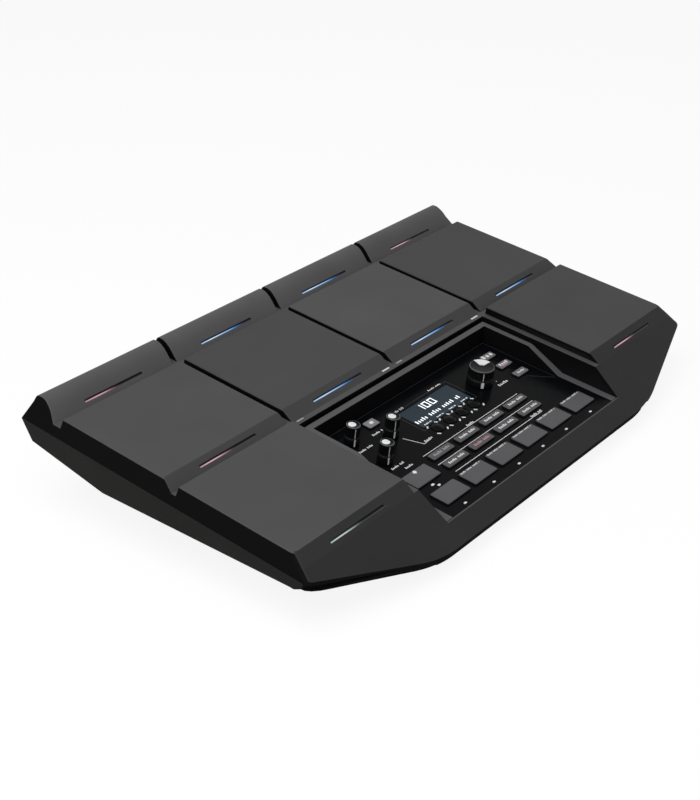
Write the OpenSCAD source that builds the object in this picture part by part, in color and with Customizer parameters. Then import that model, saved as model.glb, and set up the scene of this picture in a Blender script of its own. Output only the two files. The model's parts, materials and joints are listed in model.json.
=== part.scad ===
// Sampling percussion pad: ten rubber pads with light slits round a sunken control panel.
// x runs to the right, y to the rear and z up. The origin is on the table, under the middle of the case.
// The pads, the deck and the panel share one sloping frame: x, v (to the rear along the pads, 0 at the
// rear edge of the main pads) and n (above the pads' tops).

/* [Pads] */
// Slope of the pads down towards the player, in degrees
pad_tilt = 7; // [5:0.5:9]
// Width of the pad field across the pads' tops
field_w = 380; // [370:1:400]
// Thickness of a rubber pad
pad_t = 5; // [4.5:0.25:5.5]
// Gap between neighbouring pads
pad_gap = 3; // [2:0.25:4]
// Length of a main pad's flat top
main_l = 76.4; // [74:0.2:80]
// Run of the slope at the front of a main pad
main_slope = 8.4; // [7.6:0.2:9.6]
// Valley between a main pad's slope and the front pad
row_gap = 2.7; // [2:0.1:4]
// Length of a front pad's flat top
front_l = 78.7; // [78:0.1:84]
// Distance of a front pad's inner edge from the middle
front_in = 98.2; // [97.6:0.2:102]
// Chamfer along the pads' top edges
pad_edge = 0.6; // [0.3:0.1:0.9]

/* [Rear bars] */
// Valley between the main pads and the rear bars
bar_gap = 5.3; // [4.5:0.1:7]
// Height of a bar's crown above the pads
bar_h = 5.8; // [4.5:0.1:8]
// Slope of a bar's front face, in degrees
bar_front = 47; // [43:1:54]
// Slope of a bar's rear face, in degrees
bar_rear = 68; // [60:1:74]
// Width of a bar's crown
bar_crown = 7; // [6:0.5:10]
// Fall of the crown from its front to its rear
bar_fall = 0.8; // [0:0.1:1.5]
// Rounding of the crown's two edges
bar_r = 3; // [1.5:0.25:3.5]
// How much the bars' outer ends lean in at the crown
bar_lean = 1.2; // [0:0.2:2]

/* [Light slits] */
// Length of a light slit
slit_l = 45; // [30:1:60]
// Width of a light slit
slit_w = 1.6; // [1.2:0.1:2]
// Depth of a light slit
slit_d = 1.8; // [1.4:0.1:2]
// Depth of the slits below the pads' plane on the main pads
main_slit_n = 2.5; // [1.6:0.1:3]
// Depth of the slits below the pads' plane on the front pads
front_slit_n = 3.1; // [2:0.1:3.4]
// Depth of the slits below the pads' plane on the rear bars
bar_slit_n = 2.4; // [0:0.1:3]
// How far a light bar lies below the pad's face
light_inset = 0.3; // [0.1:0.1:0.6]
// Clearance round a light bar
light_fit = 0.1; // [0.05:0.05:0.2]

/* [Case] */
// How far the case's seam stands out past the pads at each side
side_flare = 5; // [3:0.5:7]
// Thickness of the deck under the pads
deck_t = 5.3; // [5:0.1:6.5]
// Depth of the base below the pads' rear edge
case_drop = 59.5; // [57:0.5:66]
// Wall of the bottom case
wall = 3; // [2.5:0.25:3.5]
// Run of the front facet, from the pads' front edge to the nose
facet_run = 40.2; // [39:0.2:42]
// Fall of the front facet
facet_drop = 25.1; // [24.4:0.1:26.4]
// Skin of the front apron where it meets the deck
apron_t = 5; // [4.4:0.1:5.6]
// Width of the apron's lower edge
lip_land = 2.4; // [2:0.1:2.8]
// Gap between the apron and the tray behind it
apron_fit = 0.2; // [0.1:0.05:0.3]
// Width of the straight nose between the swept front corners
nose_w = 224; // [210:2:250]
// How far the front corners are swept back
nose_sweep = 24.6; // [23:0.2:26]
// Height of the tray's front wall below the apron
nose_h = 4; // [3:0.25:5]
// How far the flat base starts behind the nose
nose_under = 12; // [10:0.5:14]
// Depth of the side walls' lower edge below the pads' rear edge
side_drop = 36.5; // [35.5:0.5:39]
// Depth of the side walls' lower edge at the rear
side_drop_rear = 20; // [18:0.5:24]
// Width of the flat base at the rear
base_w = 216; // [200:2:230]

/* [Fasteners and feet] */
// Height of a rubber foot
foot_h = 3; // [2:0.5:5]
// Diameter of a rubber foot
foot_d = 18; // [12:1:24]
// Spacing of the feet across the case
foot_span = 190; // [170:2:196]
// Distance of the front feet behind the nose
foot_front = 26; // [24:1:34]
// Distance of the rear feet before the rear edge
foot_rear = 40; // [36:1:50]
// Distance of the outer screws from the middle
screw_out = 150; // [142:1:156]
// Distance of the inner screws from the middle
screw_in = 104; // [102:0.5:110]
// Distance of the front screws from the middle
screw_front = 132; // [122:1:138]
// Shank diameter of a case screw
screw_d = 3; // [2.5:0.25:3.5]
// Head diameter of a case screw
head_d = 5.8; // [5:0.2:6.2]
// Height of that head
head_h = 2.4; // [1.8:0.2:3]
// Width of the key socket in that head, across its corners
key_d = 3; // [2.4:0.2:3.4]
// Diameter of a screw pillar
pillar_d = 11; // [10:0.5:13]
// Clearance of a screw in its holes
screw_fit = 0.2; // [0.1:0.05:0.3]

/* [Sensors] */
// Thickness of the steel plate under a pad
plate_t = 1.2; // [0.8:0.1:1.4]
// Thickness of the foam under a plate
foam_t = 2; // [1.6:0.1:2.2]
// Border of the deck left round a plate's pocket
pocket_in = 6; // [5:0.5:9]
// Clearance round a plate and its foam
pocket_fit = 0.3; // [0.2:0.05:0.5]
// Diameter of a sensor disc under a flat pad
disc_d = 27; // [20:1:35]
// Diameter of a sensor disc under a rear bar
bar_disc_d = 8; // [6:0.5:9]
// Thickness of a sensor disc
disc_t = 0.6; // [0.4:0.1:0.9]

/* [Control panel] */
// Depth of the panel below the pads
panel_drop = 18.1; // [17.8:0.1:18.4]
// Thickness of the panel
panel_t = 2.5; // [2:0.1:2.8]
// Width of the recess at the deck
recess_w = 188; // [187:0.5:190]
// How much each side of the recess closes in towards the panel
recess_taper = 2.3; // [1.5:0.1:2.6]
// Strip of deck between the main pads and the recess
strip_w = 3.7; // [3:0.1:4.5]
// Wall of the tub that holds the panel
tub_wall = 2.5; // [2:0.1:3]
// Width of the flange under the panel's border
tub_flange = 3.5; // [3:0.1:3.8]
// Clearance round the panel
panel_fit = 0.3; // [0.2:0.05:0.4]
// Width of the raised rim round the panel
rim_w = 4.3; // [3.8:0.1:4.8]
// Height of the rim above the panel at the rear
rim_h = 11; // [9:0.25:12]
// Height of the rim above the panel at the front
rim_low = 0.5; // [0.3:0.1:1]
// Level length of the raised rim, from the rear
rim_level = 38.5; // [34:0.5:42]
// Run of the slope where the rim comes down
rim_slope = 25; // [20:0.5:30]
// Shadow gap between the rim and the recess
rim_gap = 2.6; // [2.4:0.1:2.9]
// How much the rim's inner walls close in towards the panel
rim_draft = 1.4; // [0.6:0.1:2]

/* [Display] */
// Width of the display window
display_w = 50; // [46:0.5:52]
// Height of the display window
display_l = 19.5; // [17:0.5:20]
// Distance of the display's middle behind the front edge of the panel
display_v = 73.5; // [73:0.1:74]
// Thickness of the window
window_t = 1.4; // [1:0.1:1.6]
// Thickness of the display module
module_t = 2.4; // [2:0.1:3]

/* [Buttons] */
// How far the buttons stand above the panel
button_proud = 1.6; // [1.2:0.1:2.2]
// Travel of a button
travel = 0.8; // [0.4:0.1:1]
// Clearance round a button in the panel
button_fit = 0.35; // [0.25:0.05:0.5]
// Flange that keeps a button under the panel
flange_w = 1; // [0.8:0.1:1.3]
// Thickness of that flange
flange_t = 1.2; // [0.8:0.1:1.4]
// Width of a square button
square_w = 22; // [20:0.5:23]
// Length of a square button, front to rear
square_l = 12.6; // [11.5:0.1:13]
// Spacing of the square buttons
square_pitch = 27.1; // [26.6:0.1:27.4]
// Width of a row button
row_w = 20.5; // [18:0.5:21]
// Length of a row button, front to rear
row_l = 5.6; // [5:0.1:6]
// Spacing of the row buttons across the panel
row_pitch = 26; // [25.2:0.1:26.4]
// Spacing of the two rows of buttons
row_step = 10.5; // [10:0.1:10.8]
// Width of a menu button beside the encoder
menu_w = 12; // [10:0.5:12.5]
// Length of a menu button, front to rear
menu_l = 5.6; // [5:0.1:6]
// Spacing of the menu buttons
menu_step = 12.5; // [11:0.1:12.8]
// Width of the small key behind the knobs
key_w = 9.3; // [8:0.1:10]
// Length of the small key
key_l = 6.5; // [5.5:0.1:7]
// Diameter of a round soft key
soft_d = 8.4; // [7.5:0.1:8.8]
// Spacing of the round soft keys
soft_pitch = 12.6; // [12.2:0.1:13]

/* [Knobs] */
// Diameter of a slim knob
knob_d = 9.6; // [8.4:0.1:10.4]
// Height of a slim knob
knob_h = 13; // [10:0.5:15]
// Diameter of the encoder's knob
encoder_d = 17; // [15:0.2:18]
// Height of the encoder's knob
encoder_h = 11.6; // [9:0.2:13]
// Share of a knob's height below its ribs
knob_skirt = 0.4; // [0.3:0.02:0.5]
// Gap between a knob and the panel
knob_lift = 0.5; // [0.3:0.1:1]
// Diameter of the turning shafts
shaft_d = 6; // [5:0.25:6.25]
// Running clearance of a shaft, on the radius
shaft_fit = 0.05; // [0.02:0.01:0.08]

/* [Boards] */
// Thickness of the circuit boards
board_t = 1.6; // [1.2:0.1:2]
// Depth of the panel board below the panel's underside
board_drop = 7.6; // [7.2:0.1:8]
// Side of a push switch
switch_w = 6; // [5:0.1:6.2]
// Length of the main board, front to rear
main_board_l = 52; // [46:1:58]
// Half width of the main board
main_board_half = 92; // [88:1:94]

/* [Rear sockets] */
// Height of the sockets above the table
jack_z = 29; // [27:0.5:31]
// Bore of a jack socket
jack_d = 6.4; // [6.35:0.05:6.6]
// Spacing of the rear sockets
jack_pitch = 22; // [20:0.5:23]
// Diameter of a jack's threaded bush
bush_d = 9; // [8.4:0.2:10]
// Width of a jack's nut, across its corners
nut_d = 13.5; // [12:0.5:15]
// Height of a jack's nut
nut_h = 2.2; // [1.6:0.2:2.6]
// Width of a jack's body
jack_w = 15; // [13:0.5:17]
// Length of a jack's body behind the wall
jack_l = 21; // [19:0.5:26]
// Depth of the main board below the sockets' middle
socket_drop = 8; // [7:0.5:9]
// Width of the power inlet
dc_w = 9; // [8:0.5:10]
// Height of the power inlet
dc_h = 12; // [10:0.5:13]
// Length of the power inlet
dc_l = 13; // [12:0.5:16]
// Bore of the power inlet
dc_bore = 6.3; // [5.5:0.1:6.6]
// Diameter of the power inlet's pin
dc_pin = 2; // [1.3:0.1:2.5]
// Width of the data socket
usb_w = 12; // [11.5:0.1:13]
// Height of the data socket
usb_h = 12; // [10.5:0.1:13]
// Length of the data socket
usb_l = 16; // [14:0.5:18]
// Shell of the data socket, from its opening to its outside
usb_shell = 1.7; // [1.2:0.1:2]
// Clearance of the sockets in the case
jack_fit = 0.2; // [0.1:0.05:0.3]
// Diameter of the power button
power_d = 8; // [6:0.5:9]
// How far the power button stands out
power_proud = 3; // [2.6:0.2:4]
// Travel of the power button
power_travel = 1.5; // [0.5:0.1:2]
// Width of the power switch's body
power_switch_w = 8; // [7:0.5:9]
// Length of the power switch's body
power_switch_l = 9; // [8:0.5:12]

/* [Hidden] */
$fn = 48;
tiny = 0.01;
far = 300;

main_v = -main_l;
front_v = -(main_l + main_slope + row_gap);
front_end = front_v - front_l;
seam = pad_t + deck_t;
seam_x = field_w / 2 + side_flare;
pad_pitch = (field_w + pad_gap) / 4;

main_angle = atan(pad_t / main_slope);
facet_angle = atan(facet_drop / facet_run);

bar_top_v = bar_gap + (bar_h + pad_t) / tan(bar_front);
bar_back_v = bar_top_v + bar_crown;
bar_back_n = bar_h - bar_fall;
function bar_rear_v(n) = bar_back_v + (bar_back_n - n) / tan(bar_rear);

lip = [front_end - facet_run, -facet_drop];

rear_reach = bar_rear_v(-seam) * cos(pad_tilt) + seam * sin(pad_tilt);
nose_reach = -lip[0] * cos(pad_tilt) + lip[1] * sin(pad_tilt);
pad_y = (nose_reach - rear_reach - power_proud) / 2;
pad_z = foot_h + case_drop;
rear_y = pad_y + rear_reach;
nose_y = pad_y - nose_reach;
base_z = foot_h;
apron_z = pad_z + lip[0] * sin(pad_tilt) + lip[1] * cos(pad_tilt);
corner_y = nose_y + nose_sweep;

lip_step = 1.19;
panel_n = -panel_drop;
panel_under = panel_n - panel_t;
board_n = panel_under - board_drop;
recess_v = -(main_l + main_slope + strip_w);
recess_half = recess_w / 2;
seat_half = recess_half - recess_taper;
panel_half = seat_half - panel_fit;
panel_front = front_end - (panel_drop - rim_low) / tan(facet_angle) + lip_step;
panel_rear = recess_v - panel_fit;
tub_n = panel_under - 3;
rim_half = recess_half - rim_gap;
rim_v = recess_v - 2;
rim_top = panel_n + rim_h;
rim_foot = panel_n + rim_low;
rim_in_half = rim_half - rim_w;
rim_in_v = rim_v - rim_w;
board_half = seat_half - tub_flange - 1;
board_rear = recess_v - tub_flange - 1;
board_front = panel_front + 5;

pocket_d = plate_t + foam_t;
switch_top = board_n + 4;
stem_end = switch_top + 0.4 + travel;
pot_w = 9.8;
pot_top = panel_under - 0.8;
shaft_hole = 3;
boss_d = 5.6;
peg_d = 2.8;
peg_fit = 0.15;
boss_x = board_half - 3;

display_mid = panel_front + display_v;
knob_col = -70;
knob_rows = [display_mid + 9.6, display_mid - 14.8];
knob_col_2 = -46;
knob_row_2 = display_mid - 1;
encoder_at = [42.2, display_mid - 3.7];
square_v = panel_front + 14.4;
row_1_v = square_v + 16.4 + row_step;
soft_v = row_1_v + 16.8;

// Each button: name, middle across the panel, middle along it, width, length; a length of 0 is round.
buttons = concat(
    [for (i = [0:5]) [str("square_button_", i + 1), (i - 2.5) * square_pitch, square_v, square_w, square_l]],
    [["square_button_7", -2.5 * square_pitch, square_v + 20.4, square_w, square_l]],
    [for (r = [0:1], i = [0:3])
        [str("row_button_", 4 * r + i + 1), (i - 1.5) * row_pitch, row_1_v - r * row_step, row_w, row_l]],
    [for (i = [0:2]) [str("menu_button_", i + 1), 71.5, display_mid + 10 - i * menu_step, menu_w, menu_l]],
    [["small_key", knob_col_2 + 0.4, display_mid + 13.9, key_w, key_l]],
    [for (i = [0:3]) [str("soft_key_", i + 1), (i - 1.5) * soft_pitch, soft_v, soft_d, 0]]);

// The turning controls: name, middle across the panel, middle along it, diameter, height, ribs, and the
// pointer's direction at rest, counted from x. The slim knobs rest at their low end, at seven o'clock.
knobs = [
    ["knob_1", knob_col, knob_rows[0], knob_d, knob_h, 18, 240],
    ["knob_2", knob_col, knob_rows[1], knob_d, knob_h, 18, 240],
    ["knob_3", knob_col_2, knob_row_2, knob_d, knob_h, 18, 240],
    ["encoder_knob", encoder_at[0], encoder_at[1], encoder_d, encoder_h, 28, 225]];

// Pads in one list: left and right edge of the top, rear and front edge of the plate's pocket, disc.
function pad_x(i) = [-field_w / 2 + i * pad_pitch, -field_w / 2 + (i + 1) * pad_pitch - pad_gap];
bar_pocket = [bar_rear_v(-pad_t) - 4, bar_gap + 4];
pads = concat(
    [for (i = [0:3]) [pad_x(i), bar_pocket, bar_disc_d]],
    [for (i = [0:3]) [pad_x(i), [-pocket_in, main_v], disc_d]],
    [for (s = [-1, 1]) [s < 0 ? [-field_w / 2, -front_in] : [front_in, field_w / 2],
        [front_v - pocket_in, front_end + 2], disc_d]]);

screw_row_1 = bar_gap / 2;
screw_row_2 = front_v + row_gap / 2 - 0.4;
screw_row_3 = front_end - 3.4;
screws = [for (s = [-1, 1], p = [[screw_out, screw_row_1], [screw_in, screw_row_1], [screw_out, screw_row_2],
    [screw_front, screw_row_3]]) [s * p[0], p[1]]];
screw_top = seam - 3.4;
head_n = -(seam + 4);

jack_x = [for (i = [0:4]) (i - 3.5) * jack_pitch];
dc_x = 1.5 * jack_pitch;
usb_x = 2.4 * jack_pitch;
power_x = 3.4 * jack_pitch;
main_board_z = jack_z - socket_drop - board_t;
main_board_rear = rear_y - wall - 1;

rubber = [0.3, 0.3, 0.3];
shell = [0.17, 0.17, 0.17];
gloss = [0.04, 0.045, 0.05];
key_grey = [0.34, 0.34, 0.35];
steel = [0.6, 0.61, 0.63];
green = [0.05, 0.25, 0.14];

// Places a child that is drawn in the sloping frame of the pads.
module on_pads() {
    translate([0, pad_y, pad_z]) rotate([pad_tilt, 0, 0]) children();
}

// A point of the sloping frame, in the part's own frame.
function at(x, v, n) = [x, pad_y + v * cos(pad_tilt) - n * sin(pad_tilt),
    pad_z + v * sin(pad_tilt) + n * cos(pad_tilt)];

// How far the case's flank stands out past the pads' top edge at a level below it.
function flank(n) = side_flare * -n / seam;

// An outline with each corner p[i] rounded by an arc of radius r[i].
function corner_arc(a, p, b, r, steps) =
    let (u = (a - p) / norm(a - p), w = (b - p) / norm(b - p), half = acos(u * w) / 2,
        mid = p + (u + w) / norm(u + w) * r / sin(half),
        from = p + u * r / tan(half) - mid,
        turn = sign(u[0] * w[1] - u[1] * w[0]) * (2 * half - 180))
    [for (k = [0:steps]) let (g = turn * k / steps)
        mid + [from[0] * cos(g) - from[1] * sin(g), from[0] * sin(g) + from[1] * cos(g)]];
function rounded(p, r, steps = 6) = let (m = len(p))
    [for (i = [0:m - 1]) each r[i] == 0 ? [p[i]]
        : corner_arc(p[(i + m - 1) % m], p[i], p[(i + 1) % m], r[i], steps)];

// Prisms: a (v, n) outline carried along x, and an (x, n) outline carried along v.
module along_x(x0, x1) {
    translate([x0, 0, 0]) rotate([90, 0, 90]) linear_extrude(x1 - x0) children();
}
module along_v(v0, v1) {
    translate([0, v1, 0]) rotate([90, 0, 0]) linear_extrude(v1 - v0) children();
}

// A straight box between two corners.
module block(a, b) {
    translate(a) cube(b - a);
}

// The front of the case in side view: one facet from the pads' underside down to the lip.
deck_front = [front_end - pad_t / tan(facet_angle), -pad_t];
// The tray's front, just behind the apron: its upper edge under the deck and its lower edge at the nose.
tray_edge = [front_end - seam / tan(facet_angle) + apron_t, -seam];
tray_nose = lip + lip_land * [cos(pad_tilt), -sin(pad_tilt)];
// Side view of the top case: the rear slope, the seam, the apron's back and the front.
case_profile = [[bar_rear_v(-pad_t), -pad_t], [bar_rear_v(-seam), -seam], tray_edge, tray_nose, lip,
    deck_front];
// Everything behind the front, for trimming what hangs from the deck.
behind_front = [deck_front, lip, [lip[0], -far / 4], [bar_rear_v(-pad_t), -far / 4],
    [bar_rear_v(-pad_t), -pad_t]];

// Corner points of the bottom case on its right half, in the part's frame. Each has a step inwards.
case_corners = [
    [at(seam_x, bar_rear_v(-seam), -seam), [-wall, -wall, far / 10]],
    [at(seam_x, tray_edge[0] + apron_fit, tray_edge[1]), [-wall, wall * 1.2, far / 10]],
    [[seam_x - 0.5, rear_y - 7, pad_z - side_drop_rear], [-wall, -wall, wall]],
    [[seam_x - 0.5, rear_y - 62, pad_z - side_drop + 3], [-wall, 0, wall]],
    [[seam_x, corner_y + 9, pad_z - side_drop], [-wall, 0, wall]],
    [[seam_x, corner_y + 0.6, pad_z - side_drop + 1], [-wall, wall, wall]],
    [[nose_w / 2, nose_y + lip_land + apron_fit, apron_z], [0, wall * 1.4, 0]],
    [[nose_w / 2 - 1, nose_y + lip_land + apron_fit + 0.4, apron_z - nose_h], [0, wall * 1.4, wall]],
    [[nose_w / 2 - 4, nose_y + nose_under, base_z], [0, wall, wall]],
    [[base_w / 2, rear_y - 24, base_z], [0, -wall, wall]],
    [[base_w / 2 + 4, rear_y, base_z + 14], [0, -wall, 0]]];

// The convex body through the corners and their mirror images.
module through(points) {
    both = [for (p = points, s = [-1, 1]) [s * p[0], p[1], p[2]]];
    hull() polyhedron(both, [[for (i = [0:len(both) - 1]) i]]);
}
module case_outside() {
    through([for (c = case_corners) c[0]]);
}
module case_inside() {
    through([for (c = case_corners) c[0] + c[1]]);
}

// The recess in the deck: tapered sides, and a floor that steps up from the panel's seat to the lip.
module recess() {
    intersection() {
        along_v(lip[0] - 20, recess_v) polygon([[-seat_half, panel_under], [seat_half, panel_under],
            [recess_half, -pad_t], [recess_half, 20], [-recess_half, 20], [-recess_half, -pad_t]]);
        along_x(-far, far) polygon([[recess_v + 1, panel_under], [panel_front - panel_fit, panel_under],
            [panel_front - panel_fit, rim_foot], [lip[0] - 30, rim_foot], [lip[0] - 30, 30],
            [recess_v + 1, 30]]);
    }
}

// The tub that hangs from the deck round the recess and carries the panel on its flange.
module tub() {
    intersection() {
        block([-recess_half - tub_wall, panel_front, tub_n],
            [recess_half + tub_wall, recess_v + tub_wall, -seam + 1]);
        along_x(-far, far) polygon(behind_front);
    }
}

module pad_pocket(p, grow) {
    block([p[0][0] + pocket_in - grow, p[1][1] - grow, -pad_t - pocket_d],
        [p[0][1] - pocket_in + grow, p[1][0] + grow, 1 - pad_t]);
}

// Top case: the deck with its sensor pockets, the swept front apron and the panel's tub.
module top_case() {
    color(shell) difference() {
        union() {
            intersection() {
                on_pads() along_x(-far, far) polygon(case_profile);
                on_pads() along_v(-far, far) polygon([
                    [-field_w / 2 - flank(-pad_t), -pad_t], [field_w / 2 + flank(-pad_t), -pad_t],
                    [seam_x, -seam], [seam_x, -far], [-seam_x, -far], [-seam_x, -seam]]);
                linear_extrude(far) polygon(nose_plan);
                apron_front();
            }
            on_pads() tub();
        }
        on_pads() {
            recess();
            block([-seat_half + tub_flange, panel_front, tub_n - 1],
                [seat_half - tub_flange, recess_v - tub_flange, panel_under + 1]);
            for (p = pads) pad_pocket(p, 0);
            for (s = screws) translate([s[0], s[1], -seam - 1])
                cylinder(d = screw_d + 2 * screw_fit, h = seam - screw_top + 1.4);
        }
    }
}
// Plan of the case with its swept front corners, and front view of the apron's lower edge. Both run on
// past the nose, so that the lip itself ends the apron in the middle.
sweep_run = seam_x + 1 - nose_w / 2;
sweep_in = nose_w / 2 - 10;
nose_plan = [[seam_x + 1, far], [-seam_x - 1, far], [-seam_x - 1, corner_y],
    [-sweep_in, nose_y - 10 * nose_sweep / sweep_run], [sweep_in, nose_y - 10 * nose_sweep / sweep_run],
    [seam_x + 1, corner_y]];
module apron_front() {
    low = apron_z - 1;
    rise = at(0, front_end - seam / tan(facet_angle), -seam)[2] - low;
    translate([0, far, 0]) rotate([90, 0, 0]) linear_extrude(2 * far) polygon([
        [-sweep_in, low - 10 * rise / sweep_run], [sweep_in, low - 10 * rise / sweep_run],
        [seam_x + 1, low + rise], [seam_x + 1, far], [-seam_x - 1, far], [-seam_x - 1, low + rise]]);
}

// Bottom case: a tapered tray with screw pillars, board posts and the openings for the sockets.
module bottom_case() {
    color(shell) difference() {
        union() {
            difference() {
                case_outside();
                case_inside();
            }
            intersection() {
                case_outside();
                union() {
                    on_pads() for (s = screws) translate([s[0], s[1], -far / 3])
                        cylinder(d = pillar_d, h = far / 3 - seam);
                    for (p = board_posts) translate([p[0], p[1], base_z])
                        cylinder(d = boss_d, h = main_board_z - base_z);
                }
            }
            for (p = board_posts) translate([p[0], p[1], main_board_z - 1])
                cylinder(d = peg_d, h = board_t + 1.6);
        }
        on_pads() {
            block([-recess_half - tub_wall - panel_fit, lip[0] - 20, tub_n - panel_fit],
                [recess_half + tub_wall + panel_fit, recess_v + tub_wall + panel_fit, 10]);
            for (s = screws) translate([s[0], s[1], 0]) {
                translate([0, 0, -far / 3]) cylinder(d = head_d + 1, h = far / 3 + head_n);
                translate([0, 0, head_n - 1]) cylinder(d = screw_d + 2 * screw_fit, h = 20);
            }
        }
        for (x = jack_x) socket_hole(x, bush_d + 2 * jack_fit);
        socket_hole(power_x, power_d + 2 * button_fit);
        socket_window(dc_x, dc_w, dc_h);
        socket_window(usb_x, usb_w, usb_h);
    }
}
board_posts = [for (s = [-1, 1], y = [main_board_rear - 6, main_board_rear - main_board_l + 6])
    [s * (main_board_half - 6), y]];
module socket_hole(x, d) {
    translate([x, rear_y + 1, jack_z]) rotate([90, 0, 0]) cylinder(d = d, h = wall + 4);
}
module socket_window(x, w, h) {
    block([x - w / 2 - jack_fit, rear_y - wall - 4, jack_z - h / 2 - jack_fit],
        [x + w / 2 + jack_fit, rear_y + 1, jack_z + h / 2 + jack_fit]);
}

module rubber_feet() {
    foot_y = [nose_y + foot_front, rear_y - foot_rear];
    color([0.06, 0.06, 0.06]) for (s = [-1, 1], y = foot_y) translate([s * foot_span / 2, y, 0]) {
        cylinder(d1 = foot_d - 2, d2 = foot_d, h = 1);
        translate([0, 0, 1]) cylinder(d = foot_d, h = foot_h - 1);
    }
}

module case_screws() {
    color(steel) on_pads() for (s = screws) translate([s[0], s[1], head_n]) {
        translate([0, 0, -head_h]) difference() {
            cylinder(d = head_d, h = head_h);
            translate([0, 0, -1]) cylinder(d = key_d, h = head_h / 2 + 1, $fn = 6);
        }
        cylinder(d = screw_d, h = -head_n - screw_top - 0.2);
    }
}

// A slit's place on a slope of angle a that passes through the point (v, n).
module on_slope(x, v, n, a) {
    translate([x, v, n]) rotate([a, 0, 0]) children();
}
module slit_cut() {
    translate([-slit_l / 2, -slit_w / 2, -slit_d]) cube([slit_l, slit_w, slit_d + 2]);
}
module slit_light() {
    translate([-slit_l / 2 + light_fit, -slit_w / 2 + light_fit, -slit_d])
        cube([slit_l - 2 * light_fit, slit_w - 2 * light_fit, slit_d - light_inset]);
}

// The slit of pad number i: 0 to 3 are the rear bars, 4 to 7 the main pads, 8 and 9 the front pads.
module at_slit(i) {
    x = (pads[i][0][0] + pads[i][0][1]) / 2;
    if (i < 4)
        on_slope(x, bar_gap + (pad_t - bar_slit_n) / tan(bar_front), -bar_slit_n, bar_front) children();
    else if (i < 8)
        on_slope(x, main_v - main_slit_n / tan(main_angle), -main_slit_n, main_angle) children();
    else
        on_slope(x, front_end - front_slit_n / tan(facet_angle), -front_slit_n, facet_angle) children();
}

// A pad: its side outline carried across its width, trimmed to the case's flank at the field's ends.
module pad(i, outline, top) {
    x = pads[i][0];
    left = x[0] <= -field_w / 2 + tiny ? 1 : 0;
    right = x[1] >= field_w / 2 - tiny ? 1 : 0;
    e = top > 0 ? tiny : pad_edge;
    lean = top > 0 ? bar_lean : 0;
    color(rubber) on_pads() difference() {
        intersection() {
            along_x(-far, far) polygon(outline);
            along_v(-far, far) polygon([
                [x[0] - left * flank(-pad_t), -pad_t], [x[1] + right * flank(-pad_t), -pad_t],
                [x[1] + right * flank(-e), -e], [x[1] - e - right * lean, top],
                [x[0] + e + left * lean, top], [x[0] - left * flank(-e), -e]]);
        }
        at_slit(i) slit_cut();
    }
}
bar_outline = rounded([[bar_gap, -pad_t], [bar_top_v, bar_h], [bar_back_v, bar_back_n],
    [bar_rear_v(-pad_t), -pad_t]], [0, bar_r, bar_r, 0], 6);
main_outline = [[0, -pad_t], [0, -pad_edge], [-pad_edge, 0], [main_v, 0], [main_v - main_slope, -pad_t]];
front_outline = [[front_v, -pad_t], [front_v, -pad_edge], [front_v - pad_edge, 0], [front_end, 0],
    [front_end - pad_t / tan(facet_angle), -pad_t]];

module rear_pad(i) {
    pad(i, bar_outline, bar_h);
}
module main_pad(i) {
    pad(4 + i, main_outline, 0);
}
module front_pad(i) {
    pad(8 + i, front_outline, 0);
}

// Under each pad: a steel plate on foam, with a sensor disc under the plate in the foam's hole.
module pad_plates() {
    color(steel) on_pads() for (p = pads) intersection() {
        pad_pocket(p, -pocket_fit);
        translate([0, 0, -pad_t - plate_t / 2]) cube([far * 2, far * 2, plate_t], center = true);
    }
}
module pad_foams() {
    color([0.12, 0.12, 0.13]) on_pads() for (p = pads) difference() {
        intersection() {
            pad_pocket(p, -pocket_fit);
            translate([0, 0, -pad_t - plate_t - foam_t / 2]) cube([far * 2, far * 2, foam_t], center = true);
        }
        at_disc(p) translate([0, 0, -2 * foam_t]) cylinder(d = p[2] + 3, h = 3 * foam_t);
    }
}
module sensor_discs() {
    color("goldenrod") on_pads() for (p = pads)
        at_disc(p) translate([0, 0, -disc_t]) cylinder(d = p[2], h = disc_t);
}
module at_disc(p) {
    translate([(p[0][0] + p[0][1]) / 2, (p[1][0] + p[1][1]) / 2, -pad_t - plate_t]) children();
}

module light_bars() {
    color([0.35, 0.5, 0.9]) on_pads() for (i = [0:9]) at_slit(i) slit_light();
}

// Control panel: the glossy plate with its cut-outs and the bosses that carry its board.
module control_panel() {
    color(gloss) on_pads() difference() {
        union() {
            block([-panel_half, panel_front, panel_under], [panel_half, panel_rear, panel_n]);
            for (p = board_bosses) translate([p[0], p[1], board_n])
                cylinder(d = boss_d, h = -board_n - panel_drop - 1);
            for (p = board_bosses) translate([p[0], p[1], board_n - board_t - 1])
                cylinder(d = peg_d, h = board_t + 2);
        }
        for (b = buttons) translate([b[1], b[2], panel_under - 1]) if (b[4] == 0)
            cylinder(d = b[3] + 2 * button_fit, h = panel_t + 2);
        else
            plate(b[3] + 2 * button_fit, b[4] + 2 * button_fit, panel_t + 2);
        for (k = knobs) translate([k[1], k[2], panel_under - 1]) cylinder(d = shaft_d + 1, h = panel_t + 2);
        translate([0, display_mid, panel_n - window_t]) plate(display_w, display_l, window_t + 1);
        translate([0, display_mid, panel_under - 1]) plate(display_w - 3, display_l - 3, panel_t);
    }
}
board_bosses = [for (s = [-1, 1], v = [board_rear - 4, board_front + 4]) [s * boss_x, v]];
module plate(w, l, h) {
    translate([-w / 2, -l / 2, 0]) cube([w, l, h]);
}

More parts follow.
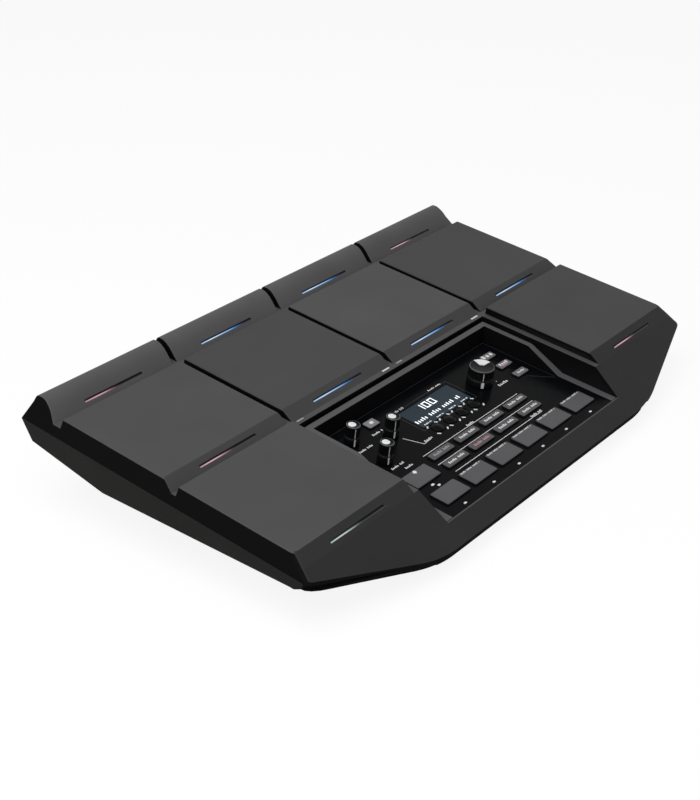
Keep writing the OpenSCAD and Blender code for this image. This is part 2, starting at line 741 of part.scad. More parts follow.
// The raised rim: a collar on three sides of the panel that slopes down to it at the front.
module panel_rim() {
    color(shell) on_pads() difference() {
        along_x(-rim_half, rim_half) polygon([[rim_v, panel_n], [rim_v, rim_top],
            [rim_v - rim_level, rim_top], [rim_v - rim_level - rim_slope, rim_foot],
            [panel_front, rim_foot], [panel_front, panel_n]]);
        intersection() {
            along_x(-far, far) polygon([[rim_in_v - rim_draft, panel_n - 1], [rim_in_v, rim_top],
                [rim_in_v, 10], [-far, 10], [-far, panel_n - 1]]);
            along_v(-far, far) polygon([[-rim_in_half + rim_draft, panel_n - 1], [-rim_in_half, rim_top],
                [-rim_in_half, 10], [rim_in_half, 10], [rim_in_half, rim_top],
                [rim_in_half - rim_draft, panel_n - 1]]);
        }
    }
}

module display_window() {
    color([0.1, 0.13, 0.15]) on_pads() translate([0, display_mid, panel_n - window_t])
        plate(display_w - 2 * light_fit, display_l - 2 * light_fit, window_t - light_fit);
}
module display_module() {
    color([0.08, 0.1, 0.12]) on_pads() translate([0, display_mid, panel_under - module_t])
        plate(display_w + 4, display_l, module_t);
}

module panel_board() {
    color(green) on_pads() difference() {
        block([-board_half, board_front, board_n - board_t], [board_half, board_rear, board_n]);
        for (p = board_bosses) translate([p[0], p[1], board_n - board_t - 1])
            cylinder(d = peg_d + 2 * peg_fit, h = board_t + 2);
    }
}

// Push switches on the board, one under each button, with their plungers at full travel.
module push_switches() {
    color([0.1, 0.1, 0.1]) on_pads() for (b = buttons) translate([b[1], b[2], board_n]) {
        plate(switch_w, switch_w, 3.2);
        cylinder(d = 3.2, h = switch_top - board_n);
    }
}

// A pot's or an encoder's body on the board, bored for its shaft.
module turn_body(k) {
    translate([k[1], k[2], board_n]) difference() {
        plate(pot_w, pot_w, pot_top - board_n);
        translate([0, 0, pot_top - board_n - shaft_hole])
            cylinder(d = shaft_d + 2 * shaft_fit, h = shaft_hole + 1);
    }
}
module pot_bodies() {
    color([0.25, 0.3, 0.28]) on_pads() for (i = [0:2]) turn_body(knobs[i]);
}
module encoder_body() {
    color([0.3, 0.3, 0.3]) on_pads() turn_body(knobs[3]);
}

// A knob with fine ribs and a dished top, moulded on its shaft, and a groove for its pointer line.
module knob(k) {
    r = k[3] / 2;
    h = k[4];
    rib_z = h * knob_skirt;
    color([0.05, 0.05, 0.055]) on_pads() translate([k[1], k[2], panel_n + knob_lift]) difference() {
        union() {
            rotate_extrude() polygon([[0, 0], [r, 0], [r - 0.1, rib_z - 0.4], [r - 0.35, rib_z],
                [r - 0.45, h - 0.7], [r - 0.9, h], [r - 1.4, h - 0.1], [r * 0.4, h - 0.5], [0, h - 0.6]]);
            translate([0, 0, pot_top - shaft_hole + 0.2 - panel_n - knob_lift])
                cylinder(d = shaft_d, h = panel_n + knob_lift - pot_top + shaft_hole + 0.8);
        }
        for (i = [1:k[5] - 1]) rotate(i * 360 / k[5] + k[6]) translate([r - 0.2, 0, rib_z + 0.3])
            cylinder(d = 0.8, h = h - rib_z - 1.2, $fn = 12);
        rotate(k[6]) translate([r - 0.35, -0.35, 1]) cube([1, 0.7, h + 1]);
    }
}

// A button: its cap through the panel, the flange that keeps it there and the stem to its switch.
module button(b) {
    round_key = b[4] == 0;
    cap_h = panel_t + button_proud + 0.3;
    color(round_key ? gloss : key_grey) on_pads() translate([b[1], b[2], panel_under - 0.3]) {
        if (round_key) {
            rotate_extrude() polygon(concat([[0, 0], [b[3] / 2, 0], [b[3] / 2, cap_h - 1]],
                [for (a = [10:10:80]) [b[3] / 2 * cos(a), cap_h - 1 + sin(a)]], [[0, cap_h]]));
            translate([0, 0, -flange_t]) cylinder(d = b[3] + 2 * flange_w, h = flange_t);
        } else {
            plate(b[3], b[4], cap_h - 0.5);
            translate([0, 0, cap_h - 0.5]) soft_top(b[3], b[4], 0.5);
            translate([0, 0, -flange_t]) plate(b[3] + 2 * flange_w, b[4] + 2 * flange_w, flange_t);
        }
        translate([0, 0, stem_end - panel_under + 0.3])
            cylinder(d = 3, h = panel_under - 0.3 - flange_t / 2 - stem_end);
    }
}
// The chamfered top of a rectangular key.
module soft_top(w, l, h) {
    intersection() {
        along_x(-w / 2, w / 2) polygon([[-l / 2, 0], [l / 2, 0], [l / 2 - h, h], [h - l / 2, h]]);
        along_v(-l / 2, l / 2) polygon([[-w / 2, 0], [w / 2, 0], [w / 2 - h, h], [h - w / 2, h]]);
    }
}

module main_board() {
    color(green) difference() {
        block([-main_board_half, main_board_rear - main_board_l, main_board_z],
            [main_board_half, main_board_rear, main_board_z + board_t]);
        for (p = board_posts) translate([p[0], p[1], main_board_z - 1])
            cylinder(d = peg_d + 2 * peg_fit, h = board_t + 2);
    }
}

// Rear sockets: a bored bush through the case with a nut outside and a body on the board.
module jack_sockets() {
    color([0.08, 0.08, 0.08]) for (x = jack_x) translate([x, rear_y, jack_z]) difference() {
        union() {
            rotate([-90, 0, 0]) cylinder(d = nut_d, h = nut_h, $fn = 6);
            translate([0, nut_h + 0.6, 0]) rotate([90, 0, 0]) cylinder(d = bush_d, h = nut_h + wall + 2);
            block([-jack_w / 2, -wall - jack_l, -socket_drop], [jack_w / 2, -wall - jack_fit, socket_drop]);
        }
        translate([0, nut_h + 1, 0]) rotate([90, 0, 0]) cylinder(d = jack_d, h = nut_h + wall + jack_l - 2);
    }
}
module dc_inlet() {
    color([0.07, 0.07, 0.07]) translate([dc_x, rear_y, jack_z]) union() {
        difference() {
            union() {
                block([-dc_w / 2, -dc_l, -dc_h / 2], [dc_w / 2, 0, dc_h / 2]);
                block([-dc_w / 2, -dc_l, -socket_drop], [dc_w / 2, -wall - 2 * jack_fit, -dc_h / 2 + tiny]);
            }
            translate([0, 1, 0]) rotate([90, 0, 0]) cylinder(d = dc_bore, h = dc_l - 3);
        }
        translate([0, -1, 0]) rotate([90, 0, 0]) cylinder(d = dc_pin, h = dc_l - 4);
    }
}
module usb_port() {
    color(steel) translate([usb_x, rear_y, jack_z]) union() {
        open_w = usb_w / 2 - usb_shell;
        open_h = usb_h / 2 - usb_shell;
        difference() {
            union() {
                block([-usb_w / 2, -usb_l, -usb_h / 2], [usb_w / 2, 0, usb_h / 2]);
                block([-usb_w / 2, -usb_l, -socket_drop],
                    [usb_w / 2, -wall - 2 * jack_fit, -usb_h / 2 + tiny]);
            }
            block([-open_w, 6 - usb_l, -open_h], [open_w, 1, open_h]);
        }
        block([1.5 - open_w, 5 - usb_l, 2.8 - open_h], [open_w - 1.5, -1.5, open_h - 2.8]);
    }
}
module power_button() {
    color([0.05, 0.05, 0.05]) translate([power_x, rear_y, jack_z]) rotate([90, 0, 0]) union() {
        translate([0, 0, -power_proud]) cylinder(d1 = power_d - 1, d2 = power_d, h = 0.5);
        translate([0, 0, 0.5 - power_proud]) cylinder(d = power_d, h = wall + power_proud + 0.5);
        translate([0, 0, wall + 0.3]) cylinder(d = power_d + 2.4, h = 1.2);
        translate([0, 0, wall + 1]) cylinder(d = 3, h = 3);
    }
}
module power_switch() {
    color([0.15, 0.15, 0.15]) translate([power_x, rear_y - wall - 4.4 - power_travel, jack_z])
        block([-power_switch_w / 2, -power_switch_l, -socket_drop], [power_switch_w / 2, 0, power_d / 2]);
}

top_case();
bottom_case();
rubber_feet();
case_screws();
for (i = [0:3]) rear_pad(i);
for (i = [0:3]) main_pad(i);
front_pad(0);  // front_pad_left
front_pad(1);  // front_pad_right
pad_plates();
pad_foams();
sensor_discs();
light_bars();
control_panel();
panel_rim();
display_window();
display_module();
panel_board();
push_switches();
pot_bodies();
encoder_body();
for (k = knobs) knob(k);
for (b = buttons) button(b);
main_board();
jack_sockets();
dc_inlet();
usb_port();
power_button();
power_switch();
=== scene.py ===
# %% [markdown]
# # A sampling percussion pad
# Ten firm rubber pads, each with a lit slit, lie round a sunken control panel with a display, knobs and
# keys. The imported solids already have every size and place, so this lesson dresses them and never moves
# one. Two ways come back all through it. A solid whose form is right is copied, its edges are softened and
# it gets a finish. A piece that needs a finer form is a surface worked out with numpy, as whole arrays of
# points.

# %% Load the solids
import json
import math

import bmesh
import bpy
import numpy as np
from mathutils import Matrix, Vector


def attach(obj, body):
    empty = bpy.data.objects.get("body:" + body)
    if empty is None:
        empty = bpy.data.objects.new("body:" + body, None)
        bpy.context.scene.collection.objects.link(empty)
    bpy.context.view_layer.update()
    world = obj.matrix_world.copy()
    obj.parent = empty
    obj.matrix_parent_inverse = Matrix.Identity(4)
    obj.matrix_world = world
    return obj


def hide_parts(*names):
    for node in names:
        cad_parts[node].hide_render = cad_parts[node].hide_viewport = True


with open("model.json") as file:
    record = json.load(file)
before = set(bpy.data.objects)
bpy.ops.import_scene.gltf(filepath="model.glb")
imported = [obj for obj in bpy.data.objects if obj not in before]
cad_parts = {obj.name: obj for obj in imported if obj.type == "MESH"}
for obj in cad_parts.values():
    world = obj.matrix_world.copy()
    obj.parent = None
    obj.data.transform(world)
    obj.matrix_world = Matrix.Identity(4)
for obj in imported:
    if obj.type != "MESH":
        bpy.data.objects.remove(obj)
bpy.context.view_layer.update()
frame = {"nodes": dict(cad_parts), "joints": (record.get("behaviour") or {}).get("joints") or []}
nodes = frame["nodes"]
joints = {joint["name"]: joint for joint in frame["joints"]}

# %% [markdown]
# ## The sloping deck
# Pads, deck and panel share one frame that tips towards the player. It could be typed in as an angle, but
# the encoder's joint already holds it: its axis is the panel's normal, and its place on the deck is known.
# All the pieces below are drawn in this frame, in millimetres: x across, v to the rear, n above the pads'
# tops.

# %% The deck's frame
MM = 0.001
ENCODER_ON_DECK = np.array([42.2, -123.398, -18.1])
DECK_N = -5.0
PANEL_N = ENCODER_ON_DECK[2]

encoder_turn = joints["encoder_knob_turn"]
up = np.array(encoder_turn["axis"], float)
up /= np.linalg.norm(up)
across = np.array([1.0, 0.0, 0.0])
DECK = np.stack([across, np.cross(up, across), up])
deck_origin = np.array(encoder_turn["pos_m"], float) - MM * ENCODER_ON_DECK @ DECK


def on_deck(points):
    """World places of deck points: the deck's origin plus x, v and n along its three directions."""
    return deck_origin + MM * np.asarray(points, float) @ DECK


def to_deck(points):
    """Deck millimetres of world points: the offset from the origin, measured along the three directions."""
    return (np.asarray(points, float) - deck_origin) @ DECK.T / MM


def values_of(items, what, width=1, kind=np.float32):
    """One property of all the points, edges or faces of a mesh, with 'width' numbers in a row."""
    flat = np.empty(width * len(items), kind)
    items.foreach_get(what, flat)
    return flat.reshape(-1, width) if width > 1 else flat


def deck_points(mesh):
    """Every vertex of a mesh, in deck millimetres."""
    return to_deck(values_of(mesh.vertices, "co", 3))


def corners(node):
    """Every vertex of a solid, in deck millimetres."""
    return deck_points(nodes[node].data)


print("the pads' rear edge lies at", np.round(deck_origin, 4))

# %% [markdown]
# ## Meshes from arrays
# A stack of rings is the commonest form here: a key, a knob, a light guide and a printed dash are all rings
# of points joined by quads. One function joins the rings, one joins separate shells, and one makes the
# object.

# %% Rings, shells and pieces
CREASE_DEGREES = 38


def ring_faces(rows, columns):
    """Faces of a stack of closed rings: quads between neighbouring rings, and one face at each end."""
    index = np.arange(rows * columns).reshape(rows, columns)
    ahead = np.roll(index, -1, axis=1)
    quads = np.stack([index[:-1], ahead[:-1], ahead[1:], index[1:]], axis=-1).reshape(-1, 4)
    return quads.tolist() + [index[0, ::-1].tolist(), index[-1].tolist()]


def shell(rings):
    """(points, faces) of a closed stack of rings, given as an array of rings by points by 3."""
    return rings.reshape(-1, 3), ring_faces(*rings.shape[:2])


def joined(shells):
    """One (points, faces) out of several: each shell's face numbers move up by the points before it."""
    starts = np.cumsum([0] + [len(points) for points, _ in shells])
    faces = [[i + start for i in face] for (_, faces), start in zip(shells, starts) for face in faces]
    return np.concatenate([points for points, _ in shells]), faces


def placed(name, data):
    """A new object in the scene, at the origin."""
    thing = bpy.data.objects.new(name, data)
    bpy.context.scene.collection.objects.link(thing)
    return thing


def make(name, points, faces, body, finishes, slot, stands_for=None):
    """A piece from deck points, whose edges sharper than CREASE_DEGREES are left sharp."""
    mesh = bpy.data.meshes.new(name)
    mesh.from_pydata(on_deck(points).tolist(), [], faces)
    mesh.shade_smooth()
    mesh.set_sharp_from_angle(angle=math.radians(CREASE_DEGREES))
    for finish in finishes:
        mesh.materials.append(finish)
    thing = placed(name, mesh)
    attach(thing, body)
    if stands_for:
        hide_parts(stands_for)
    return thing


def paint(thing, first_face, count, slot_number):
    """Gives a run of faces another of the piece's finishes."""
    faces = thing.data.polygons
    numbers = values_of(faces, "material_index", kind=np.int32)
    numbers[first_face:first_face + count] = slot_number
    faces.foreach_set("material_index", numbers)


print("helpers ready")

# %% [markdown]
# ## Moulded finishes
# Nearly everything here is moulded: rubber, plastic and silicone. A flat colour would look like paper, so
# each finish has a fine grain that bumps the surface, a broad cloud that shifts the colour a little, and
# gloss that follows the grain. Sizes of the grain are real, in millimetres. What is the same all over sits
# on the shader.

# %% Finish maker
CLOUD_MM = 40.0
GLOSS_DRIFT = 0.06
NOISE_SPAN = (0.3, 0.7)


def linear(code):
    """Linear red, green and blue of a hex code: ((c + 0.055) / 1.055) ** 2.4, or c / 12.92 when dark."""
    c = np.array([int(code[i:i + 2], 16) for i in (0, 2, 4)]) / 255
    return np.where(c > 0.04045, ((c + 0.055) / 1.055) ** 2.4, c / 12.92)


def noise(tree, size_mm, detail=2.0):
    """A noise texture on Object coordinates whose blobs are about size_mm across."""
    place = tree.nodes.new("ShaderNodeTexCoord")
    texture = tree.nodes.new("ShaderNodeTexNoise")
    texture.inputs["Scale"].default_value = 1 / (size_mm * MM)
    texture.inputs["Detail"].default_value = detail
    tree.links.new(place.outputs["Object"], texture.inputs["Vector"])
    return texture.outputs["Fac"]


def spread(tree, value, low, high):
    """Maps noise, which stays near the middle, onto the range from low to high."""
    span = tree.nodes.new("ShaderNodeMapRange")
    span.inputs["From Min"].default_value = NOISE_SPAN[0]
    span.inputs["From Max"].default_value = NOISE_SPAN[1]
    span.inputs["To Min"].default_value = low
    span.inputs["To Max"].default_value = high
    tree.links.new(value, span.inputs["Value"])
    return span.outputs["Result"]


def moulded(name, code, rough, grain=0.5, depth=0.02, drift=0.08, specular=0.2, metallic=0.0):
    """A moulded finish: colour that drifts by a share, gloss that follows the grain, a pressed-in grain."""
    material = bpy.data.materials.new(name)
    material.use_nodes = True
    tree = material.node_tree
    shader = tree.nodes["Principled BSDF"]
    shader.inputs["Metallic"].default_value = metallic
    shader.inputs["Specular IOR Level"].default_value = specular

    tint = tree.nodes.new("ShaderNodeMix")
    tint.data_type = "RGBA"
    tint.inputs["A"].default_value = (*(linear(code) * (1 - drift)), 1)
    tint.inputs["B"].default_value = (*(linear(code) * (1 + drift)), 1)
    tree.links.new(spread(tree, noise(tree, CLOUD_MM), 0, 1), tint.inputs["Factor"])
    tree.links.new(tint.outputs["Result"], shader.inputs["Base Color"])

    fine = noise(tree, grain, 3.0)
    gloss = spread(tree, fine, rough - GLOSS_DRIFT, rough + GLOSS_DRIFT)
    tree.links.new(gloss, shader.inputs["Roughness"])
    bump = tree.nodes.new("ShaderNodeBump")
    bump.inputs["Distance"].default_value = depth * MM
    tree.links.new(fine, bump.inputs["Height"])
    tree.links.new(bump.outputs["Normal"], shader.inputs["Normal"])
    return material


print("finish maker ready")

# %% [markdown]
# ## The finishes of this object
# Pads are grey rubber, the cases grained plastic, the keys silicone, and the panel and the knobs' tops are
# polished. Each could have a shader of its own, but they differ only in colour, gloss and grain, so one
# maker serves for all. Neighbouring pads differ by a shade of grey, and the slopes that face the player
# get a darker mix than the tops, which is painted shade.

# %% Finishes
RUBBER = dict(rough=0.62, grain=0.35, depth=0.02, drift=0.05, specular=0.12)
SILICONE = dict(rough=0.5, grain=0.3, depth=0.01, drift=0.04, specular=0.15)
INK_COAT = dict(rough=0.5, grain=0.3, depth=0.004, drift=0.03)

pad_rubber = moulded("pad_rubber", "4c4c4d", **RUBBER)
pale_rubber = moulded("pale_rubber", "505051", **RUBBER)
deep_rubber = moulded("deep_rubber", "464647", **RUBBER)
bar_rubber = moulded("bar_rubber", "565657", 0.58, grain=0.35, depth=0.02, drift=0.08, specular=0.15)
# Darker mixes for the slopes that face the player, on pads and apron: painted shade.
slope_rubber_shaded = moulded("slope_rubber_shaded", "434344", **RUBBER)
front_slope_shaded = moulded("front_slope_shaded", "2f2f30", 0.58, grain=0.35, depth=0.02, drift=0.05, specular=0.1)
apron_plastic_shaded = moulded("apron_plastic_shaded", "2b2b2c", 0.55, grain=0.5, depth=0.02, specular=0.1)
# Nearly black for walls beside and between the pads, in the recess and under the apron: painted shade.
wall_painted_shade = moulded("wall_painted_shade", "0c0c0c", 0.6, grain=0.5, depth=0.02, specular=0.03)
deck_plastic = moulded("deck_plastic", "4a4a4b", 0.5, grain=0.5, depth=0.02, specular=0.15)
tray_plastic = moulded("tray_plastic", "1b1b1a", 0.6, grain=0.8, depth=0.04, drift=0.12, specular=0.1)
rim_plastic = moulded("rim_plastic", "525254", 0.48, grain=0.5, depth=0.02, specular=0.15)
panel_gloss = moulded("panel_gloss", "090a0c", 0.22, grain=6.0, depth=0.002, drift=0.1, specular=0.025)
key_silicone = moulded("key_silicone", "565658", **SILICONE)
# Dark for the keys' walls: painted shade.
key_wall = moulded("key_wall", "161617", 0.6, grain=0.3, depth=0.01, specular=0.05)
key_bright = moulded("key_bright", "858587", **SILICONE)
key_pale = moulded("key_pale", "6e6e70", **SILICONE)
dome_gloss = moulded("dome_gloss", "050606", 0.2, grain=2.0, depth=0.002, specular=0.06)
knob_matt = moulded("knob_matt", "0d0e0f", 0.4, grain=0.3, depth=0.01, specular=0.12)
knob_top = moulded("knob_top", "0a0b0c", 0.25, grain=1.0, depth=0.002, specular=0.06)
# A lighter grey for the knobs' top edges: a painted highlight.
knob_edge_highlight = moulded("knob_edge_highlight", "5c5d60", 0.3, grain=0.4, depth=0.004, drift=0.04, specular=0.2)
# White patches in the knobs' dishes: a painted reflection.
dish_reflection_white = moulded("dish_reflection_white", "f0f0f1", 0.35, grain=0.2, depth=0.004, drift=0.03, specular=0.3)
# White ink, which also makes the painted glints on the deck.
white_ink_and_glint = moulded("white_ink_and_glint", "e9e9ea", **INK_COAT)
# A softer grey, for one key's ink and for two deck glints that lie in painted shade.
print_soft = moulded("print_soft", "9c9c9f", **INK_COAT)
# Grey ink, which also makes the painted highlight at the foot of the rim's inner wall.
grey_ink_and_highlight = moulded("grey_ink_and_highlight", "2c3034", 0.4, grain=0.3, depth=0.004)
print_pink = moulded("print_pink", "c98d93", **INK_COAT)
foot_rubber = moulded("foot_rubber", "151515", 0.75, grain=0.6, depth=0.04)
zinc_steel = moulded("zinc_steel", "a9abae", 0.35, grain=0.3, depth=0.006, metallic=1.0)
sheet_steel = moulded("sheet_steel", "b9babc", 0.4, grain=0.8, depth=0.006, metallic=1.0)
port_steel = moulded("port_steel", "6c6e71", 0.45, grain=0.5, depth=0.006, metallic=1.0)
disc_brass = moulded("disc_brass", "c9a24a", 0.3, grain=0.5, depth=0.004, metallic=1.0)
bed_foam = moulded("bed_foam", "1b1b1d", 0.9, grain=1.2, depth=0.2, drift=0.2, specular=0.1)
board_green = moulded("board_green", "14452b", 0.4, grain=1.5, depth=0.01)
socket_black = moulded("socket_black", "161616", 0.5, grain=0.5, depth=0.02)
module_glass = moulded("module_glass", "0d1114", 0.2, grain=3.0, depth=0.002, specular=0.3)
print(len(bpy.data.materials), "finishes")

# %% [markdown]
# ## Wide bends
# Beside the nose and at its front ends the case has wide, soft corners. They run through pads, case and
# tray alike, so three separate bevels would not meet. Instead each copy is cut into narrow strips there,
# and one rule slides the points of all three inwards along a parabola, which keeps their faces flush.

# %% Corners in plan
def moved(mesh, change):
    """Gives every vertex the place that change(deck points) works out."""
    places = on_deck(change(deck_points(mesh)))
    mesh.vertices.foreach_set("co", places.astype(np.float32).ravel())
    mesh.update()


NOSE_X = 112.0
NOSE_REACH = 15.5
NOSE_TURN = np.array([0.0, 0.317, 0.175])
APRON_TOP_V = -188.0
APRON_FADE = 8.0


def rounded_nose(points):
    """Rounds the two corners beside the nose: at the distance s from a corner, along x, a point moves in by
    the change of the outline's slope times (reach - s) ** 2 / (4 * reach), fading out up the apron."""
    s = np.abs(np.abs(points[:, 0]) - NOSE_X)
    inward = np.clip(NOSE_REACH - s, 0, None) ** 2 / (4 * NOSE_REACH)
    fade = np.clip((APRON_TOP_V - points[:, 1]) / APRON_FADE, 0, 1)
    return points + (inward * fade)[:, None] * NOSE_TURN


END_N = (-16.7, -10.3, -8.7, -5.0, -0.6, 0.0)
END_X = (195.0, 195.0, 194.2, 192.4, 190.3, 189.4)
END_V = (-179.6, -180.1, -180.1, -174.2, -167.2, -166.2)
END_REACH = 4.0


def rounded_ends(points):
    """Rounds the corner between each flank and the front slope, whose place at the level n is read off a
    table: at the distance s = |dx| + |dv| a point moves in by (reach - s) ** 2 / (4 * reach) along x and
    along v."""
    x, v, n = points.T
    s = np.abs(np.abs(x) - np.interp(n, END_N, END_X)) + np.abs(v - np.interp(n, END_N, END_V))
    inward = np.clip(END_REACH - s, 0, None) ** 2 / (4 * END_REACH)
    return points + np.stack([-np.sign(x) * inward, inward, np.zeros_like(n)], axis=1)


def rounded_plan(points):
    """The corners beside the nose and at the front ends, both rounded."""
    return rounded_ends(rounded_nose(points))


print("corners round off over", NOSE_REACH, "and", END_REACH, "mm")

# %% [markdown]
# ## Rolled bars
# The crowns of the rear bars roll over towards the player, down to the lit slit. A wide Bevel would run
# into the slit, so the bar's profile is read off its solid, and a parabola takes the place of the corner
# between the slope and the crown.

# %% Crowns of the bars
BAR_EDGE_V = 15.29
BAR_REACH = 4.6
BAR_FOOT_V = 5.3
SLOPE_STEP = 2.0
bar_upper = corners("rear_pad_2")
bar_upper = np.unique(np.round(bar_upper[bar_upper[:, 2] > 0, 1:], 2), axis=0)
bar_upper = np.vstack([(BAR_FOOT_V, DECK_N), bar_upper])


def rolled_bar(points):
    """Rounds a bar's crown towards the player: between the slope and the crown the profile becomes a
    parabola that touches both, and every point above the pads' level sinks by what the profile loses."""
    v, n = points[:, 1], points[:, 2]
    start, end = BAR_EDGE_V - BAR_REACH, BAR_EDGE_V + BAR_REACH
    low, high = np.interp([start, end], *bar_upper.T)
    rise = (np.interp(start, *bar_upper.T) - np.interp(start - SLOPE_STEP, *bar_upper.T)) / SLOPE_STEP
    along = np.clip((v - start) / (end - start), 0, 1)
    curve = low + rise * (end - start) * along + (high - low - rise * (end - start)) * along ** 2
    loss = np.where((v > start) & (v < end) & (n > 0), np.interp(v, *bar_upper.T) - curve, 0)
    return points - np.clip(loss, 0, None)[:, None] * [0, 0, 1]


print("a bar's profile has", len(bar_upper), "points")

# %% [markdown]
# ## Cuts for the bends
# A flat face has points only at its corners, so it can't bend. Subdividing the whole mesh would cost many
# faces where nothing bends. A row of cutting planes across each bend gives points just there, and until
# they are moved the face stays flat.

# %% Cutting planes
NOSE_CUTS = 13
END_CUTS = 6
BAR_CUTS = 15
END_LEAN = np.array([0.48, -1.59, -1.0])
AT_DECK = END_N.index(DECK_N)


def bend_cuts():
    """Planes, each a deck point and a normal, along which the faces are cut to bend at the corners."""
    planes = [((side * x, 0, 0), (1, 0, 0)) for side in (-1, 1)
              for x in NOSE_X + np.linspace(-NOSE_REACH, NOSE_REACH, NOSE_CUTS)]
    end_x, end_v = END_X[AT_DECK], END_V[AT_DECK]
    for side in (-1, 1):
        lean = END_LEAN * [side, 1, 1]
        for s in np.linspace(0, END_REACH, END_CUTS)[1:]:
            planes.append(((side * end_x, end_v + s, DECK_N), np.cross(lean, (1, 0, 0))))
            planes.append(((side * (end_x - s), end_v, DECK_N), np.cross(lean, (0, 1, 0))))
    return planes


def bar_cuts():
    """Planes across a bar, where its crown bends."""
    return [((0, v, 0), (0, 1, 0)) for v in BAR_EDGE_V + np.linspace(-BAR_REACH, BAR_REACH, BAR_CUTS)]


def cut_for_bends(mesh, planes):
    """Cuts the mesh along the bends' planes: flat faces stay flat, with more points on them."""
    shape = bmesh.new()
    shape.from_mesh(mesh)
    for place, normal in planes:
        whole = shape.verts[:] + shape.edges[:] + shape.faces[:]
        bmesh.ops.bisect_plane(shape, geom=whole, plane_co=on_deck(place), plane_no=np.array(normal) @ DECK)
    shape.to_mesh(mesh)
    shape.free()


print(len(bend_cuts()), "cuts for the corners and", len(bar_cuts()), "for a bar")

# %% [markdown]
# ## Softened copies
# A moulding has no knife edges: each edge carries a small radius that catches the light. The solids' edges
# are sharp and their triangles loose, so a copy is joined up and its flat faces are rebuilt. A Bevel with
# an angle limit would then round every edge, but where a pad's outer face runs on into the case's, a
# rounded edge would show as a line of light. So each edge has a weight, and those that stay sharp have
# none.

# %% Parts of a softened copy
JOIN_MM = 0.002
FLAT_DEGREES = 0.5
SHARP_DEGREES = 25


def welded(node):
    """A copy of a solid's mesh, joined up, with flat faces rebuilt, and True for each sharp edge."""
    mesh = nodes[node].data.copy()
    shape = bmesh.new()
    shape.from_mesh(mesh)
    bmesh.ops.remove_doubles(shape, verts=shape.verts, dist=JOIN_MM * MM)
    bmesh.ops.dissolve_limit(shape, angle_limit=math.radians(FLAT_DEGREES), verts=shape.verts,
                             edges=shape.edges)
    sharp = np.array([edge.calc_face_angle(0.0) for edge in shape.edges]) > math.radians(SHARP_DEGREES)
    shape.to_mesh(mesh)
    shape.free()
    return mesh, sharp


def give_finishes(mesh, finishes, choose):
    """Puts finishes on a mesh: choose(normals, middles) gives each face's number, in the deck's frame."""
    mesh.materials.clear()
    for finish in finishes:
        mesh.materials.append(finish)
    normals = values_of(mesh.polygons, "normal", 3) @ DECK.T
    middles = to_deck(values_of(mesh.polygons, "center", 3))
    mesh.polygons.foreach_set("material_index", choose(normals, middles).astype(np.int32))


def edge_ends(mesh):
    """The two ends of every edge, in deck millimetres."""
    return deck_points(mesh)[values_of(mesh.edges, "vertices", 2, np.int32)]


def sharp_edges(mesh, degrees):
    """True for each edge whose faces meet at more than an angle."""
    mesh.set_sharp_from_angle(angle=math.radians(degrees))
    return values_of(mesh.edges, "use_edge_sharp", kind=bool)


print("copies are joined within", JOIN_MM, "mm")

# %% [markdown]
# ## Rounding a copy
# The Bevel could stay live, but then nothing after it could be marked or bent. So it is worked out at once:
# the copy is bent where it has to be, what is still sharp is marked, and a Weighted Normal keeps the flats
# flat.

# %% Softened copy
EDGE_SEGMENTS = 4
STILL_SHARP_DEGREES = 31


def all_one(normals, middles):
    """The same finish on every face."""
    return np.zeros(len(normals))


def none_flush(middles):
    """No edge that has to stay sharp."""
    return np.zeros(len(middles), bool)


def softened(node, radius_mm, finishes, choose=all_one, flush=none_flush, least=0.3, body="case",
             form=None, bent=None):
    """A copy of a solid with rounded edges. choose gives each face's finish number, flush(middles) says
    which edges stay sharp, and edges shorter than 'least' are left as they are. form(points) moves corners
    first, and bent, the planes to cut along and the rule that moves points, comes last."""
    mesh, sharp = welded(node)
    if form:
        moved(mesh, form)
    give_finishes(mesh, finishes, choose)
    mesh.shade_smooth()
    ends = edge_ends(mesh)
    kept = flush(ends.mean(axis=1)) | (np.linalg.norm(ends[:, 1] - ends[:, 0], axis=1) < least)
    weight = mesh.attributes.new("bevel_weight_edge", "FLOAT", "EDGE")
    weight.data.foreach_set("value", (sharp & ~kept).astype(np.float32))
    mesh.edges.foreach_set("use_edge_sharp", sharp & kept)

    copy = placed(node + "_skin", mesh)
    bevel = copy.modifiers.new("edges", "BEVEL")
    bevel.width = radius_mm * MM
    bevel.segments = EDGE_SEGMENTS
    bevel.limit_method = "WEIGHT"
    copy.data = bpy.data.meshes.new_from_object(copy.evaluated_get(bpy.context.evaluated_depsgraph_get()))
    copy.modifiers.clear()
    if bent:
        planes, rule = bent
        cut_for_bends(copy.data, planes)
        moved(copy.data, rule)
    edges = copy.data.edges
    still = values_of(edges, "use_edge_sharp", kind=bool)
    edges.foreach_set("use_edge_sharp", still | sharp_edges(copy.data, STILL_SHARP_DEGREES))
    flats = copy.modifiers.new("flats", "WEIGHTED_NORMAL")
    flats.keep_sharp = True
    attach(copy, body)
    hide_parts(node)
    return copy


print("edges are rounded in", EDGE_SEGMENTS, "steps")

# %% [markdown]
# ## Finish by face
# The walls between the pads are painted nearly black and the slopes towards the player dark, a painted
# shade, while the tops are grey. Splitting the solids would do it, but a face's direction and place already
# tell them apart.

# %% Which face has which finish
STEEP = 0.5
REAR_FACING = 0.7
FRONT_FACING = -0.4
LOW_FACING = -0.2
REAR_V = 15.0
APRON_V = -160.0
TRAY_FRONT_V = -165.0


def walls(normals, middles):
    """Steep faces, apart from the outer slope at the rear."""
    rear_slope = (normals[:, 1] > REAR_FACING) & (middles[:, 1] > REAR_V)
    return (normals[:, 2] < STEEP) & ~rear_slope


